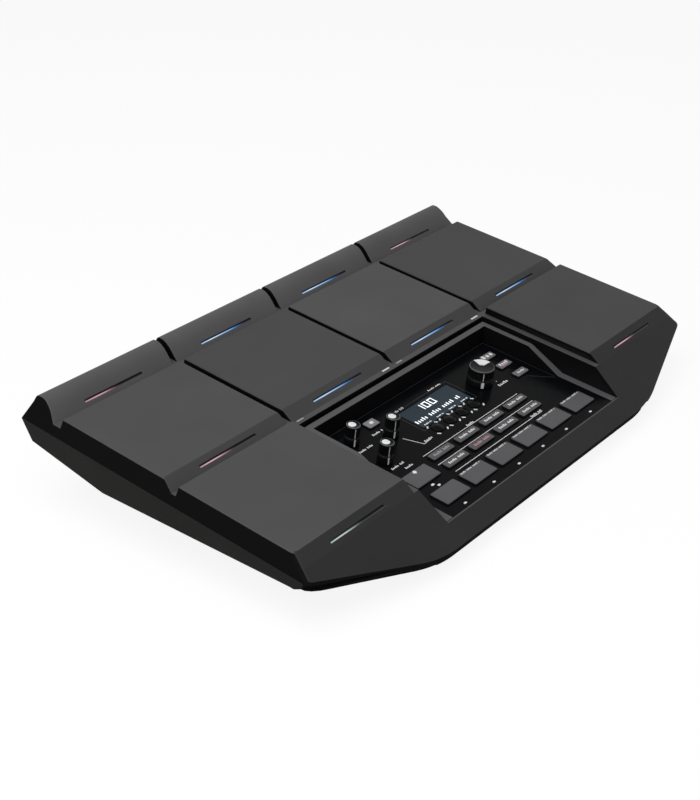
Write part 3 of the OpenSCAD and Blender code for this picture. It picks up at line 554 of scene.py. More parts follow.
def case_faces(normals, middles):
    """Walls are 1, slopes that face the player at the front of the case are 2, the rest is 0."""
    apron = (normals[:, 1] < FRONT_FACING) & (middles[:, 1] < APRON_V)
    return np.where(walls(normals, middles), 1, np.where(apron, 2, 0))


def pad_faces(normals, middles):
    """A pad's walls are 1, its slope with the slit, which faces the player, is 2, and the rest is 0."""
    return np.where(walls(normals, middles), 1, np.where(normals[:, 1] < FRONT_FACING, 2, 0))


def tray_faces(normals, middles):
    """The tray's low front, under the apron, is 1 and the rest is 0."""
    return (normals[:, 1] < LOW_FACING) & (middles[:, 1] < TRAY_FRONT_V)


def rim_faces(normals, middles):
    """The rim's walls are 1 and its top is 0."""
    return normals[:, 2] < STEEP


print("faces that rise past", round(math.degrees(math.acos(STEEP))), "degrees are walls")

# %% [markdown]
# ## Edges that stay sharp
# Pads, case and tray share their outer faces, and a radius where one hands over to the next would draw a
# line. These edges lie at known levels of the deck's frame, so a level and a side pick them out.

# %% Which edges stay sharp
SEAM_N = corners("bottom_case")[:, 2].max()
FLANK_X = 186.0
FRONT_V = -170.0
LIP_X = 95.0
AT_PAD_FOOT = 0.2
AT_SEAM = 0.3
AT_RIM = 0.5
AT_LIP = 2.0


def pad_foot(middles):
    """The edges of a pad that lie on the deck."""
    return middles[:, 2] < DECK_N + AT_PAD_FOOT


def case_flush(middles):
    """The edges of the deck from which a pad's outer face runs on, at the flanks, the front and the rear,
    those of the seam, from which the tray's faces run on, and the panel's front lip."""
    x, v, n = middles.T
    outside = (np.abs(x) > FLANK_X) | (v < FRONT_V) | (v > REAR_V)
    at_foot = np.abs(n - DECK_N) < AT_PAD_FOOT
    at_seam = np.abs(n - SEAM_N) < AT_SEAM
    at_lip = (v < APRON_TOP_V) & (np.abs(n - PANEL_N) < AT_LIP) & (np.abs(x) < LIP_X)
    return (outside & at_foot) | at_seam | at_lip


def tray_rim(middles):
    """The tray's edges at the seam."""
    return middles[:, 2] > SEAM_N - AT_RIM


print("the seam lies", round(-SEAM_N, 1), "mm under the pads' tops")

# %% [markdown]
# ## Fine corrections
# The tray's low front is a little fuller than its solid, and the dark gaps between pads are a little wider.
# A sculpting brush could do it by eye. Moving named corners and ends by a known length keeps both sides
# alike.

# %% Fuller tray and wider gaps
TRAY_DROPS = [((195.0, -179.6, -13.7), 2.2), ((195.0, -171.4, -15.7), 1.2), ((111.0, -203.9, -29.4), 2.3)]
CORNER_SPAN = 0.5
GAP_EASE = 0.22
END_BAND = 2.0
OUTER_END = 150.0


def fuller_tray(points):
    """Each named corner of the tray, left and right, goes down by its drop."""
    places = points.copy()
    sided = np.column_stack([np.abs(points[:, 0]), points[:, 1:]])
    for corner, drop in TRAY_DROPS:
        places[np.linalg.norm(sided - corner, axis=1) < CORNER_SPAN, 2] -= drop
    return places


def eased_ends(points):
    """A pad's ends beside another pad draw back, so that the dark gap is as wide as on the real one."""
    x = points[:, 0]
    left_end = (x < x.min() + END_BAND) & (x.min() > -OUTER_END)
    right_end = (x > x.max() - END_BAND) & (x.max() < OUTER_END)
    shift = GAP_EASE * left_end - GAP_EASE * right_end
    return points + shift[:, None] * [1, 0, 0]


print(2 * len(TRAY_DROPS), "corners of the tray go down, and each gap gets", 2 * GAP_EASE, "mm wider")

# %% [markdown]
# ## Pads, cases and rim
# These pieces are the body of the object: ten pads of firm rubber on a plastic deck, the tray below the
# seam and the grey collar of the panel. Their forms are the solids', so each is a softened copy. Only long
# edges of the cases get a radius, because a Bevel is held back by the shortest edge that it meets.

# %% Softened pads, cases and rim
pads = [name for name in nodes if "_pad_" in name]
pad_tops = {"main_pad_2": deep_rubber, "main_pad_3": pale_rubber, "main_pad_4": deep_rubber,
            "front_pad_right": deep_rubber}
pad_slopes = {"rear": bar_rubber, "main": slope_rubber_shaded, "front": front_slope_shaded}
pad_bends = {"rear": (bar_cuts(), rolled_bar), "front": (bend_cuts(), rounded_plan)}
# Each pad's walls get the nearly black painted shade.
for name in pads:
    row = name.split("_")[0]
    top = bar_rubber if row == "rear" else pad_tops.get(name, pad_rubber)
    softened(name, 0.5, [top, wall_painted_shade, pad_slopes[row]], pad_faces, pad_foot,
             least=2.0 if row == "front" else 0.3, form=None if row == "front" else eased_ends,
             bent=pad_bends.get(row))
# The case's walls, the tray's low front and the rim's walls get the same painted shade.
softened("top_case", 0.7, [deck_plastic, wall_painted_shade, apron_plastic_shaded], case_faces, case_flush,
         least=5.0, bent=(bend_cuts(), rounded_plan))
softened("bottom_case", 0.8, [tray_plastic, wall_painted_shade], tray_faces, tray_rim,
         least=20.0, form=fuller_tray, bent=(bend_cuts(), rounded_plan))
softened("panel_rim", 0.35, [rim_plastic, wall_painted_shade], rim_faces)
print(len(pads), "pads, two cases and the rim softened")

# %% [markdown]
# ## Rounded rectangles and ink
# Keys, the window and every printed line have a rectangle with round corners as their outline. A bevelled
# cube for each would be slow and heavy, so the outline is a formula: four corner arcs joined by straight
# sides. Where half width, half length and radius are alike it is a circle. A printed line is a thin slab
# of it, and a label is a row of such slabs.

# %% Lofts and ink
CORNER_POINTS = 6
INK_CORNER_POINTS = 3
INK = 0.06
INK_ROUND = 0.3


def loft(rings, corner_points=CORNER_POINTS):
    """Rings of half width a, half length b, corner radius r and height h: each point is a corner's middle
    (+-(a - r), +-(b - r)) plus r times (cos t, sin t), with t running once round."""
    a, b, r, h = np.array(rings, float).T[:, :, None]
    quarter = np.repeat(np.arange(4), corner_points)
    t = np.radians(quarter * 90 + np.tile(np.linspace(0, 90, corner_points), 4))
    x = np.array([1, -1, -1, 1])[quarter] * (a - r) + r * np.cos(t)
    v = np.array([1, 1, -1, -1])[quarter] * (b - r) + r * np.sin(t)
    return np.stack([x, v, np.broadcast_to(h, x.shape)], axis=-1)


def turned(points, degrees):
    """Points turned about the n axis."""
    c, s = math.cos(math.radians(degrees)), math.sin(math.radians(degrees))
    return points @ np.array([[c, s, 0], [-s, c, 0], [0, 0, 1]])


def dash(x0, x1, v, width, low, turn=0.0):
    """A flat bar of ink with round ends from x0 to x1, turned about its middle by an angle in degrees."""
    outline = ((x1 - x0) / 2, width / 2, width * INK_ROUND)
    rings = loft([(*outline, low), (*outline, low + INK)], INK_CORNER_POINTS)
    return shell(turned(rings, turn) + [(x0 + x1) / 2, v, 0])


LETTER_HEIGHTS = (1.0, 0.72, 0.72, 1.0, 0.72, 0.72, 0.88, 0.72)
LETTER_PITCH = 0.72
LETTERS_IN_WORD = 5
FEWEST_LETTERS = 3


def words(x0, x1, v, height, low, weight=0.62):
    """Upright bars of uneven height with a wider gap after every fifth, which stand for a printed label.
    Each bar takes up the share 'weight' of its place."""
    count = max(FEWEST_LETTERS, round((x1 - x0) / (height * LETTER_PITCH)))
    width = (x1 - x0) / count * weight
    bars = []
    for i, x in enumerate(np.linspace(x0, x1, count)):
        tall = height * LETTER_HEIGHTS[i % len(LETTER_HEIGHTS)]
        if i % (LETTERS_IN_WORD + 1) < LETTERS_IN_WORD:
            bars.append(dash(x - tall / 2, x + tall / 2, v - (height - tall) / 2, width, low, 90))
    return bars


print("a printed line has", len(dash(0, 1, 0, 1, 0)[1]), "faces")

# %% [markdown]
# ## Forms of the keys
# Each key is one moulding: a stem that reaches its switch, a flange that keeps it under the panel and a cap
# with soft edges. A cube with a bevel would lose the stem, so a stack of rounded rectangles is lofted
# instead, with circles for the stem and for the round keys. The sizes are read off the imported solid.

# %% Key forms
STEM_R = 1.5
FLANGE = 1.0
FLANGE_T = 1.2
FLANGE_TOP = PANEL_N - 2.8
CAP_FROM = PANEL_N - 1.0
KEY_CORNER = 0.9
EDGE = 0.55
EDGE_SWING = np.radians(np.linspace(15, 90, 6))
CORNER_LOSS = 0.6
DOME_STEPS = (0.85, 0.65, 0.4, 0.15, 0.02)
FLAT_DOME = 0.12
ROUND_DOME = 0.9


def key_size(node):
    """Middle (x, v), half width, half length, lowest and highest level of a key, read off its solid."""
    points = corners(node)
    cap = points[points[:, 2] > CAP_FROM]
    low, high = cap.min(0), cap.max(0)
    return (low + high)[:2] / 2, *((high - low)[:2] / 2), points[:, 2].min(), high[2]


def key_rings(node, dome):
    """Stem, flange and cap as rings. The edge is a quarter circle, and the top, at the share s of its
    reach, lies dome * s ** 2 under its middle."""
    middle, a, b, low, top = key_size(node)
    r = min(a, b) if dome == ROUND_DOME else KEY_CORNER
    rings = [(STEM_R, STEM_R, STEM_R, low), (STEM_R, STEM_R, STEM_R, FLANGE_TOP - FLANGE_T)]
    rings += [(a + FLANGE, b + FLANGE, r, n) for n in (FLANGE_TOP - FLANGE_T, FLANGE_TOP)]
    rings += [(a, b, r, FLANGE_TOP), (a, b, r, top - dome - EDGE)]
    inset = EDGE * (1 - np.cos(EDGE_SWING))
    drop = dome + EDGE * (1 - np.sin(EDGE_SWING))
    rings += list(zip(a - inset, b - inset, r - CORNER_LOSS * inset, top - drop))
    a, b, r = rings[-1][:3]
    rings += [(a * s, b * s, r * s, top - dome * s * s) for s in DOME_STEPS]
    return loft(rings) + [*middle, 0]


print("a key is a stack of", len(key_rings("small_key", FLAT_DOME)), "rings")

# %% [markdown]
# ## Labels on the keys
# The keys carry a short print: a word along the rear edge of a square key, or across the middle of a small
# one. A picture would blur close up, so each is a few thin slabs of ink, joined to the cap and moving with
# it.

# %% Key labels
INK_SINK = 0.02
# Ends in shares of the key's half width, then the shift to the rear, the height and the weight of the bars
MENU_WORDS = {"menu_button_1": (-0.75, 0.5, 0.4, 3.4, 0.9),
              "menu_button_2": (-0.62, 0.5, 0.6, 2.2, 0.85),
              "menu_button_3": (-0.45, 0.5, 0.0, 1.7, 0.85)}
ROW_WORD = (-0.66, 0.66, 0.0, 1.9, 0.75)


def key_label(node):
    """White and pink ink on a key's top, as two lists."""
    (x, v), a, b, _, top = key_size(node)
    ink = top - INK_SINK
    if node == "square_button_1":
        white = []
    elif node == "square_button_7":
        white = [dash(x - 1.6, x + 1.0, v + b - 1.9, 2.4, ink, 45)]
    elif node == "small_key":
        white = [dash(x - 1.5, x + 1.5, v, 2.2, ink)]
    elif node.startswith("square"):
        white = words(x - a + 1.4, x + a - 3.0, v + b - 1.1, 1.3, ink)
    else:
        left, right, rear, height, weight = MENU_WORDS.get(node, ROW_WORD)
        white = words(x + left * a, x + right * a, v + rear, height, ink, weight)
    if node == "row_button_6":
        return [], white
    if node == "menu_button_2":
        return white, [dash(x - 0.6 * a, x + 0.5 * a, v - 1.2, 0.9, ink)]
    return white, []


print("a square key's label has", len(key_label("square_button_2")[0]), "bars")

# %% [markdown]
# ## Keys
# A cap's top is grey and its walls are painted dark, a painted shade for the shadow that each key stands
# in. Two pieces could do it, but one mesh with four finishes stays one moulding. The rings run from the
# stem up, so the walls are the first bands of faces, and the ink comes after the cap.

# %% Key caps
WALL_BANDS = 5
inks = {"row_button_1": print_soft}
tops = {"small_key": key_bright, **dict.fromkeys(MENU_WORDS, key_pale)}
keys = [name for name in nodes if name.rsplit("_", 1)[0] in ("square_button", "row_button", "menu_button")]
for name in keys + ["small_key"]:
    rings = key_rings(name, FLAT_DOME)
    white, pink = key_label(name)
    cap = shell(rings)
    finishes = [tops.get(name, key_silicone), key_wall, inks.get(name, white_ink_and_glint), print_pink]
    key = make(name + "_cap", *joined([cap] + white + pink), name, finishes, "key_grey", name)
    # The walls get the dark finish, a painted shade.
    paint(key, 0, WALL_BANDS * rings.shape[1], 1)
    start = len(cap[1])
    for number, ink in ((2, white), (3, pink)):
        count = sum(len(faces) for _, faces in ink)
        paint(key, start, count, number)
        start += count
soft_keys = ["soft_key_%d" % i for i in range(1, 5)]
for name in soft_keys:
    make(name + "_cap", *shell(key_rings(name, ROUND_DOME)), name, [dome_gloss], "key_black", name)
print(len(keys) + 1 + len(soft_keys), "keys lofted")

# %% [markdown]
# ## Forms of the knobs
# The knobs are turned forms: a smooth skirt, fine ribs above it and a dished top whose polished edge is
# painted a lighter grey, a painted highlight. A revolve with cut grooves would take hundreds of cuts. It is
# simpler to write the radius as a function of height and angle: a profile, less a rib wave that fades out
# at the skirt and at the top.

# %% Knob forms
RIB = 0.42
RIB_POWER = 0.6
RIB_POINTS = 8
SHAFT_R = 3.0
SKIRT = 0.4


def knob_rings(base, top, low, radius, ribs, line_at):
    """Radius R(k) - RIB * fade(k) * ((1 + cos(ribs * (angle - line_at))) / 2) ** 0.6 at height h(k): the
    rows of the profile give R, h and fade from the shaft, up the skirt and the ribs, over the edge and into
    the dish."""
    step = base + SKIRT * (top - base)
    profile = np.array([
        (SHAFT_R, low, 0), (SHAFT_R, base, 0), (radius - 0.35, base, 0), (radius - 0.08, base + 0.12, 0),
        (radius, base + 0.45, 0), (radius - 0.1, step - 0.4, 0), (radius - 0.2, step - 0.1, 0),
        (radius - 0.35, step, 0), (radius - 0.36, step + 0.25, 0), (radius - 0.37, step + 0.5, 1),
        (radius - 0.44, top - 1.3, 1), (radius - 0.45, top - 0.95, 0), (radius - 0.5, top - 0.6, 0),
        (radius - 0.62, top - 0.25, 0), (radius - 0.88, top - 0.02, 0), (radius - 1.05, top, 0),
        (radius - 1.4, top - 0.1, 0), (radius * 0.55, top - 0.4, 0), (radius * 0.35, top - 0.5, 0),
        (radius * 0.15, top - 0.58, 0), (radius * 0.02, top - 0.6, 0)])
    rho, height, fade = profile.T[:, :, None]
    angle = np.linspace(0, 2 * math.pi, ribs * RIB_POINTS, endpoint=False)
    wave = (1 + np.cos(ribs * (angle - math.radians(line_at)))) / 2
    r = rho - RIB * fade * wave ** RIB_POWER
    return np.stack([r * np.cos(angle), r * np.sin(angle), np.broadcast_to(height, r.shape)], axis=-1)


LINE_T = 0.22
LINE_ROUND = 0.12
PATCH_T = 0.6
PATCH_POINTS = 28


def upright(reach, half_width, low, high, line_at):
    """A slim upright bar at a distance from the axis, in the direction line_at."""
    rings = loft([(LINE_T, half_width, LINE_ROUND, n) for n in (low, high)], INK_CORNER_POINTS)
    return turned(rings + [reach, 0, 0], line_at)


def dish_patch(radius, level, start, sweep, inner, at=(0.0, 0.0)):
    """A flat ring sector in a knob's dish as a closed shell: inner and outer arc at two levels."""
    t = np.radians(start + np.linspace(0, sweep, PATCH_POINTS))
    way = np.stack([np.cos(t), np.sin(t)], axis=-1)
    outline = np.concatenate([radius * way, max(inner, 0.01) * way[::-1]]) + at
    levels = (level - PATCH_T, level)
    return np.stack([np.column_stack([outline, np.full(len(outline), n)]) for n in levels])


print("a rib is", RIB, "mm deep")

# %% [markdown]
# ## Knobs
# Three slim knobs and the large encoder knob differ only in size and in the count of ribs, so one loop
# makes all four at the sizes of their solids. A white line runs down each knob, thin between the ribs and
# broad on the skirt, and a pale patch in the dish is a painted reflection: a wedge on the encoder, a round
# patch on the slim knobs. They could be painted on, but as slabs they keep a crisp edge.

# %% Ribbed knobs
EDGE_BANDS = (13, 15)
TOP_BANDS = (15, 20)
GRIP_FROM = PANEL_N + 0.4
knobs = {"knob_1": (18, 240), "knob_2": (18, 240), "knob_3": (18, 240), "encoder_knob": (28, 225)}
for name, (ribs, line_at) in knobs.items():
    points = corners(name)
    grip = points[points[:, 2] > GRIP_FROM]
    middle = np.append((grip.min(0) + grip.max(0))[:2] / 2, 0)
    radius = np.ptp(grip[:, 0]) / 2
    base, top = grip[:, 2].min(), grip[:, 2].max()
    rings = knob_rings(base, top, points[:, 2].min(), radius, ribs, line_at)
    finishes = [knob_matt, knob_edge_highlight, knob_top]
    grip = make(name + "_grip", *shell(rings + middle), name, finishes, "knob_black", name)
    columns = rings.shape[1]
    # The band at the top's edge gets the lighter grey of a painted highlight.
    paint(grip, EDGE_BANDS[0] * columns, (EDGE_BANDS[1] - EDGE_BANDS[0]) * columns, 1)
    paint(grip, TOP_BANDS[0] * columns, (TOP_BANDS[1] - TOP_BANDS[0]) * columns + 1, 2)

    step = base + SKIRT * (top - base)
    broad = 0.9 if name == "encoder_knob" else 0.45
    line = [upright(radius - 0.2, broad, base + 0.5, step - 0.3, line_at),
            upright(radius - 0.6, 0.16, step + 0.1, top - 1.0, line_at)]
    make(name + "_line", *joined([shell(bar + middle) for bar in line]), name, [white_ink_and_glint], "knob_black")
    # The pale patch in the dish is a painted reflection.
    if name == "encoder_knob":
        dish_reflection = dish_patch(radius - 0.5, top + 0.03, -5, 80, radius * 0.2)
    else:
        dish_reflection = dish_patch(radius * 0.5, top - 0.22, 0, 350, 0.0, (-0.3, 0.7))
    make(name + "_mark", *shell(dish_reflection + middle), name, [dish_reflection_white], "knob_black")
print(len(knobs), "knobs with", sum(ribs for ribs, _ in knobs.values()), "ribs")

# %% [markdown]
# ## Glow of the lit slits
# A clear light guide lies in each pad's slit, and one lamp near its left end feeds it, so it is bright
# there and fades to nothing. A plain emitter would be even all along. So every point of a guide stores its
# own colour in an attribute, and the finish gives off what it reads there.

# %% Glow
CORE_AT = 0.2
CORE_LEFT = 0.4
CORE_RIGHT = 0.5
FADE_POWER = 1.5


def light_guide():
    """The finish of a guide: it gives off the colour stored along it, over a dark smoked body."""
    material = moulded("light_guide", "0e1013", 0.3, grain=1.0, depth=0.004, specular=0.05)
    tree = material.node_tree
    stored = tree.nodes.new("ShaderNodeAttribute")
    stored.attribute_name = "glow"
    shader = tree.nodes["Principled BSDF"]
    tree.links.new(stored.outputs["Color"], shader.inputs["Emission Color"])
    shader.inputs["Emission Strength"].default_value = 1.0
    return material


def glow_along(u, core, tint, full, end):
    """Colour at share u of a guide: it rises to the core at a fifth, runs into the tint up to 0.7, and
    fades from full to end."""
    mix = np.abs(u - CORE_AT) / np.where(u < CORE_AT, CORE_LEFT, CORE_RIGHT)
    fade = (1 - np.clip((u - full) / (end - full), 0, 1)) ** FADE_POWER
    mix = np.clip(mix, 0, 1)[:, None]
    return ((1 - mix) * linear(core) + mix * linear(tint)) * fade[:, None]


LIT_TOP = 0.12
LIT_FADE = 0.25
UPPER_TINT = 0.06
FRINGE = 0.3
LIP_ROOM_LIGHT = "3e3e42"
LIP_TOP = -0.05
LIP_FADE = 0.3


def glow_across(along, across_slit, tint):
    """Colours along a guide spread over its section, by the height across the slit: lit below LIT_TOP, with
    a purer tint along the lower edge, a trace of the tint above, and a lower lip that always gives off at
    least a grey glow, painted light that stands for the room's light on it."""
    along = along[:, None, :]
    tinted = np.minimum(along, linear(tint))
    pure = np.clip((across_slit - across_slit.min()) / FRINGE, 0, 1)[None, :, None]
    lit_part = np.clip((LIT_TOP - across_slit) / LIT_FADE, 0, 1)[None, :, None]
    # The lip's grey glow is painted light: the room's light on it.
    lip = np.clip((LIP_TOP - across_slit) / LIP_FADE, 0, 1)[:, None] * linear(LIP_ROOM_LIGHT)
    lower = tinted + (along - tinted) * pure
    upper = tinted * UPPER_TINT
    return np.maximum(lower * lit_part + upper * (1 - lit_part), lip[None])


print("a guide is brightest at", CORE_AT, "of its length")

# %% [markdown]
# ## The lit slits
# The three rows of slits lie on slopes of different steepness, and each pad's guide has its own colour. Ten
# bars drawn one by one would repeat themselves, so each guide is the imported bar's end section carried along
# x in fine steps. Only the lower half of a slit is lit: the rubber shades the upper half, which is nearly
# black.

# %% Light guides
GUIDE_STEPS = 60
SIDE_PARTS = 8
SECTION_CORNERS = 4
ROW_LIMITS = (-130.0, -40.0)
# Core and tint, and the shares of the length where the fade starts and ends
guide_colours = {"pink": ("e0c5cd", "975270", 0.36, 0.66), "blue": ("e2f3fa", "3f8ad6", 0.6, 0.92),
                 "mint": ("d2dad6", "83938e", 0.3, 0.66), "rose": ("dcbbc4", "975270", 0.34, 0.62)}
# The slope's angle in degrees, and the colours from left to right
guide_rows = [(32.0, ["mint", "pink"]), (30.8, ["pink", "blue", "blue", "blue"]),
              (47.0, ["rose", "blue", "blue", "rose"])]


def section_ring(end):
    """Points round one end of a bar: its four corners in order, with each side split into equal parts."""
    around = np.arctan2(*(end - end.mean(0))[:, [2, 1]].T)
    corner = end[np.argsort(around)]
    share = (np.arange(SIDE_PARTS) / SIDE_PARTS)[None, :, None]
    return ((1 - share) * corner[:, None] + share * np.roll(corner, -1, axis=0)[:, None]).reshape(-1, 3)


bar_points = np.unique(np.round(corners("light_bars"), 2), axis=0)
bar_row = np.digitize(bar_points[:, 1], ROW_LIMITS)
u = np.linspace(0, 1, GUIDE_STEPS)
guides, glows = [], []
for row, (slope, plan) in enumerate(guide_rows):
    in_row = bar_points[bar_row == row]
    in_row = in_row[np.argsort(in_row[:, 0])].reshape(len(plan), 2, SECTION_CORNERS, 3)
    up_slope = np.array([0, math.cos(math.radians(slope)), math.sin(math.radians(slope))])
    for (left, right), colour in zip(in_row, plan):
        first, last = section_ring(left), section_ring(right)
        guides.append(shell((1 - u)[:, None, None] * first + u[:, None, None] * last))
        across_slit = (first - first.mean(0)) @ up_slope
        along = glow_along(u, *guide_colours[colour])
        glows.append(glow_across(along, across_slit, guide_colours[colour][1]).reshape(-1, 3))
guide = make("light_guides", *joined(guides), "case", [light_guide()], "light_lens", "light_bars")
glow = guide.data.attributes.new("glow", "FLOAT_COLOR", "POINT")
colours = np.concatenate(glows)
glow.data.foreach_set("color", np.column_stack([colours, np.ones(len(colours))]).ravel())
print(len(guides), "light guides")

# %% [markdown]
# ## The display's window
# The window is smoked plastic over a bright dot display. The solid's sharp slab would do from afar, but
# close up its edge has to catch the light, so it is a loft of three rings with a slate tint.

# %% Window
DISPLAY_V = -119.698
WINDOW_ROUND = 0.8
WINDOW_EDGE = 0.15
window_slate = moulded("window_slate", "2c3942", 0.3, grain=8.0, depth=0.002, drift=0.15, specular=0.06)
window = corners("display_window")
window_low, window_high = window.min(0), window.max(0)
half_w, half_l = (window_high - window_low)[:2] / 2
rings = [(half_w, half_l, WINDOW_ROUND, window_low[2]),
         (half_w, half_l, WINDOW_ROUND, window_high[2] - WINDOW_EDGE),
         (half_w - WINDOW_EDGE, half_l - WINDOW_EDGE, 0.7, window_high[2])]
pane = shell(loft(rings) + [0, DISPLAY_V, 0])
make("display_pane", *pane, "case", [window_slate], "window", "display_window")
print("the window is", round(2 * half_w, 1), "by", round(2 * half_l, 1), "mm")

# %% [markdown]
# ## What the display shows
# The lit dots form a plain number and two rows of short strokes. A picture would do it, but a few lit
# shapes are cleaner, and they sit just on the window's face.

# %% Lit marks
SEGMENTS = {"0": "abcdef", "1": "bc"}
DIGIT_W, DIGIT_H, BAR = 3.5, 5.0, 0.8
DIGIT_STEP = 5.9
NUMBER_AT = (-9.0, 4.6)
STROKES_X = (-23.6, 18.8)
STROKES_V = -3.6
MENU_STEP = 12.6
MENU_HALF = 3.0
MENU_V = -8.2


def lit(name, code, strength):
    """A finish that gives off light of its own, evenly."""
    material = moulded(name, code, 0.4, drift=0.02)
    shader = material.node_tree.nodes["Principled BSDF"]
    shader.inputs["Emission Color"].default_value = (*linear(code), 1)
    shader.inputs["Emission Strength"].default_value = strength
    return material


def digit(figure, x, v, low):
    """Seven bars round a figure of eight: a, d and g lie flat, b, c, e and f stand at the sides."""
    w, h = DIGIT_W / 2, DIGIT_H / 2
    flat = {"a": (0, h), "g": (0, 0), "d": (0, -h)}
    tall = {"f": (-w, h / 2), "b": (w, h / 2), "e": (-w, -h / 2), "c": (w, -h / 2)}
    bars = []
    for part in SEGMENTS[figure]:
        dx, dv = {**flat, **tall}[part]
        length, turn = (DIGIT_W + BAR, 0) if part in flat else (DIGIT_H / 2 + BAR, 90)
        bars.append(dash(x + dx - length / 2, x + dx + length / 2, v + dv, BAR, low, turn))
    return bars


face_n = window_high[2] - 0.01
lit_shapes = []
for i, figure in enumerate("100"):
    lit_shapes += digit(figure, NUMBER_AT[0] + i * DIGIT_STEP, DISPLAY_V + NUMBER_AT[1], face_n)
lit_shapes += words(*STROKES_X, DISPLAY_V + STROKES_V, 3.0, face_n, 0.45)
for i in range(4):
    x = (i - 1.5) * MENU_STEP
    lit_shapes += words(x - MENU_HALF, x + MENU_HALF, DISPLAY_V + MENU_V, 1.0, face_n, 0.5)
lit_white = lit("lit_white", "eef3f6", 0.75)
make("display_marks", *joined(lit_shapes), "case", [lit_white], "window")
print(len(lit_shapes), "lit shapes on the display")

# %% [markdown]
# ## White print on the panel
# Thin white lines lead from key to key, short labels sit beside the knobs and keys, and four ticks stand
# round each round key. Each label is a row of plain upright bars. An image would need a picture file, so
# every line is a flat bar, under a tenth of a millimetre thick, lying on the panel.

# %% White lines, labels and ticks
INK_LOW = PANEL_N - 0.01


def stroke(x0, v0, x1, v1, width=0.4):
    """A printed line between two places on the panel."""
    length = math.hypot(x1 - x0, v1 - v0)
    middle = (x0 + x1) / 2
    turn = math.degrees(math.atan2(v1 - v0, x1 - x0))
    return dash(middle - length / 2, middle + length / 2, (v0 + v1) / 2, width, INK_LOW, turn)


# From (x, v) to (x, v)
white_lines = [(-49.8, -147, 49.2, -147), (-50.6, -158.1, 49.3, -158.1), (-48.4, -168.8, 43.7, -168.8),
               (-43.6, -127.6, -38.7, -139.8), (-38.7, -139.8, -31, -139.2)]
# From x to x, at v
labels = [(-53.6, -45.4, -113.5), (-73.6, -62.4, -119.2), (-73, -63, -142.2), (-66.4, -59.6, -147),
          (-36, -30, -138.4), (-27, -17, -107.5), (10.6, 22.2, -107), (-3.8, 3.4, -145.9),
          (33.5, 43.5, -167.6)]
LABEL_H = 1.6
FRONT_MARKS_X = (-69.2, -40.6, -14.5, 11.3, 37.5, 65.6)
FRONT_MARKS_V = -190.0
TICK_REACH = 6.1

white_print = [stroke(*ends) for ends in white_lines]
for x0, x1, v in labels:
    white_print += words(x0, x1, v, LABEL_H, INK_LOW, 0.75)
white_print += [dash(-69.6, -67.2, -167.2, 1.5, INK_LOW), dash(-67, -64.8, -169.8, 1.5, INK_LOW)]
white_print += words(49, 57, -133.8, 2.2, INK_LOW, 0.8)
white_print += [dash(51.2, 52, -129.8, 0.7, INK_LOW, 60)]
white_print += [dash(x - 1.1, x + 1.1, FRONT_MARKS_V, 1.3, INK_LOW) for x in FRONT_MARKS_X]
for name in soft_keys:
    middle = key_size(name)[0]
    for angle in (45, 135, 225, 315):
        x = middle[0] + TICK_REACH * math.cos(math.radians(angle))
        v = middle[1] + TICK_REACH * math.sin(math.radians(angle))
        white_print.append(dash(x - 1.2, x + 1.2, v, 1.0, INK_LOW, angle + 90))
make("panel_print", *joined(white_print), "case", [white_ink_and_glint], "panel_gloss")
print(len(white_print), "white lines and bars")

# %% [markdown]
# ## Grey lines and painted glints on the deck
# Faint grey lines frame the panel and the display; those round the panel, at the foot of the rim's inner
# wall, are a painted highlight. Four short white dashes at the ends of the middle pads on the deck are
# painted glints. They could be grooves in the solids, but these have no depth, so they are the same slabs
# as the ink, in other finishes. Two of the dashes are a softer grey, painted shade on them.

# %% Grey lines and deck marks
# Lines along the foot of the rim's inner wall: a painted highlight.
FRAME_X, FRAME_REAR, FRAME_FRONT = 84.8, -96.8, -152.0
FRAME_WIDTH = 0.3
grey_lines_and_highlight = [stroke(72, -139.6, 84.5, -153.5, 0.35)]
grey_lines_and_highlight += [stroke(-84.6, FRAME_REAR, 84.6, FRAME_REAR, FRAME_WIDTH)]
grey_lines_and_highlight += [stroke(x, FRAME_REAR, x, FRAME_FRONT, FRAME_WIDTH) for x in (FRAME_X, -FRAME_X)]
frame_w, frame_l = half_w + 2.6, half_l + 2.4
for s in (-1, 1):
    grey_lines_and_highlight.append(stroke(-frame_w, DISPLAY_V + s * frame_l, frame_w, DISPLAY_V + s * frame_l, 0.35))
    grey_lines_and_highlight.append(stroke(s * frame_w, DISPLAY_V - frame_l, s * frame_w, DISPLAY_V + frame_l, 0.35))
make("panel_frame_lines", *joined(grey_lines_and_highlight), "case", [grey_ink_and_highlight], "panel_gloss")

# White dashes at the ends of the middle pads: painted glints.
DECK_GLINTS_X = ((-91.2, -85.3), (-10.6, -3.8), (3.4, 9.2), (84.8, 91.8))
DECK_GLINTS_V = -85.7
SHADED_GLINTS = (0, 2)
deck_glints = [dash(x0, x1, DECK_GLINTS_V, 1.1, DECK_N - 0.01) for x0, x1 in DECK_GLINTS_X]
marks = make("deck_glints", *joined(deck_glints), "case", [white_ink_and_glint, print_soft], "case_black")
# Two of the glints get the softer grey: painted shade.
for i in SHADED_GLINTS:
    count = len(deck_glints[i][1])
    paint(marks, i * count, count, 1)
print(len(grey_lines_and_highlight), "grey lines and", len(deck_glints), "marks on the deck")

# %% [markdown]
# ## What is left of the solids
# Feet, screws, sockets, boards and the pieces inside keep their solids' forms, which are right, and most of
# them show only from behind or below. New meshes would add nothing. The outer ones are softened, and all
# get a finish of their own, because no surface stays plain.

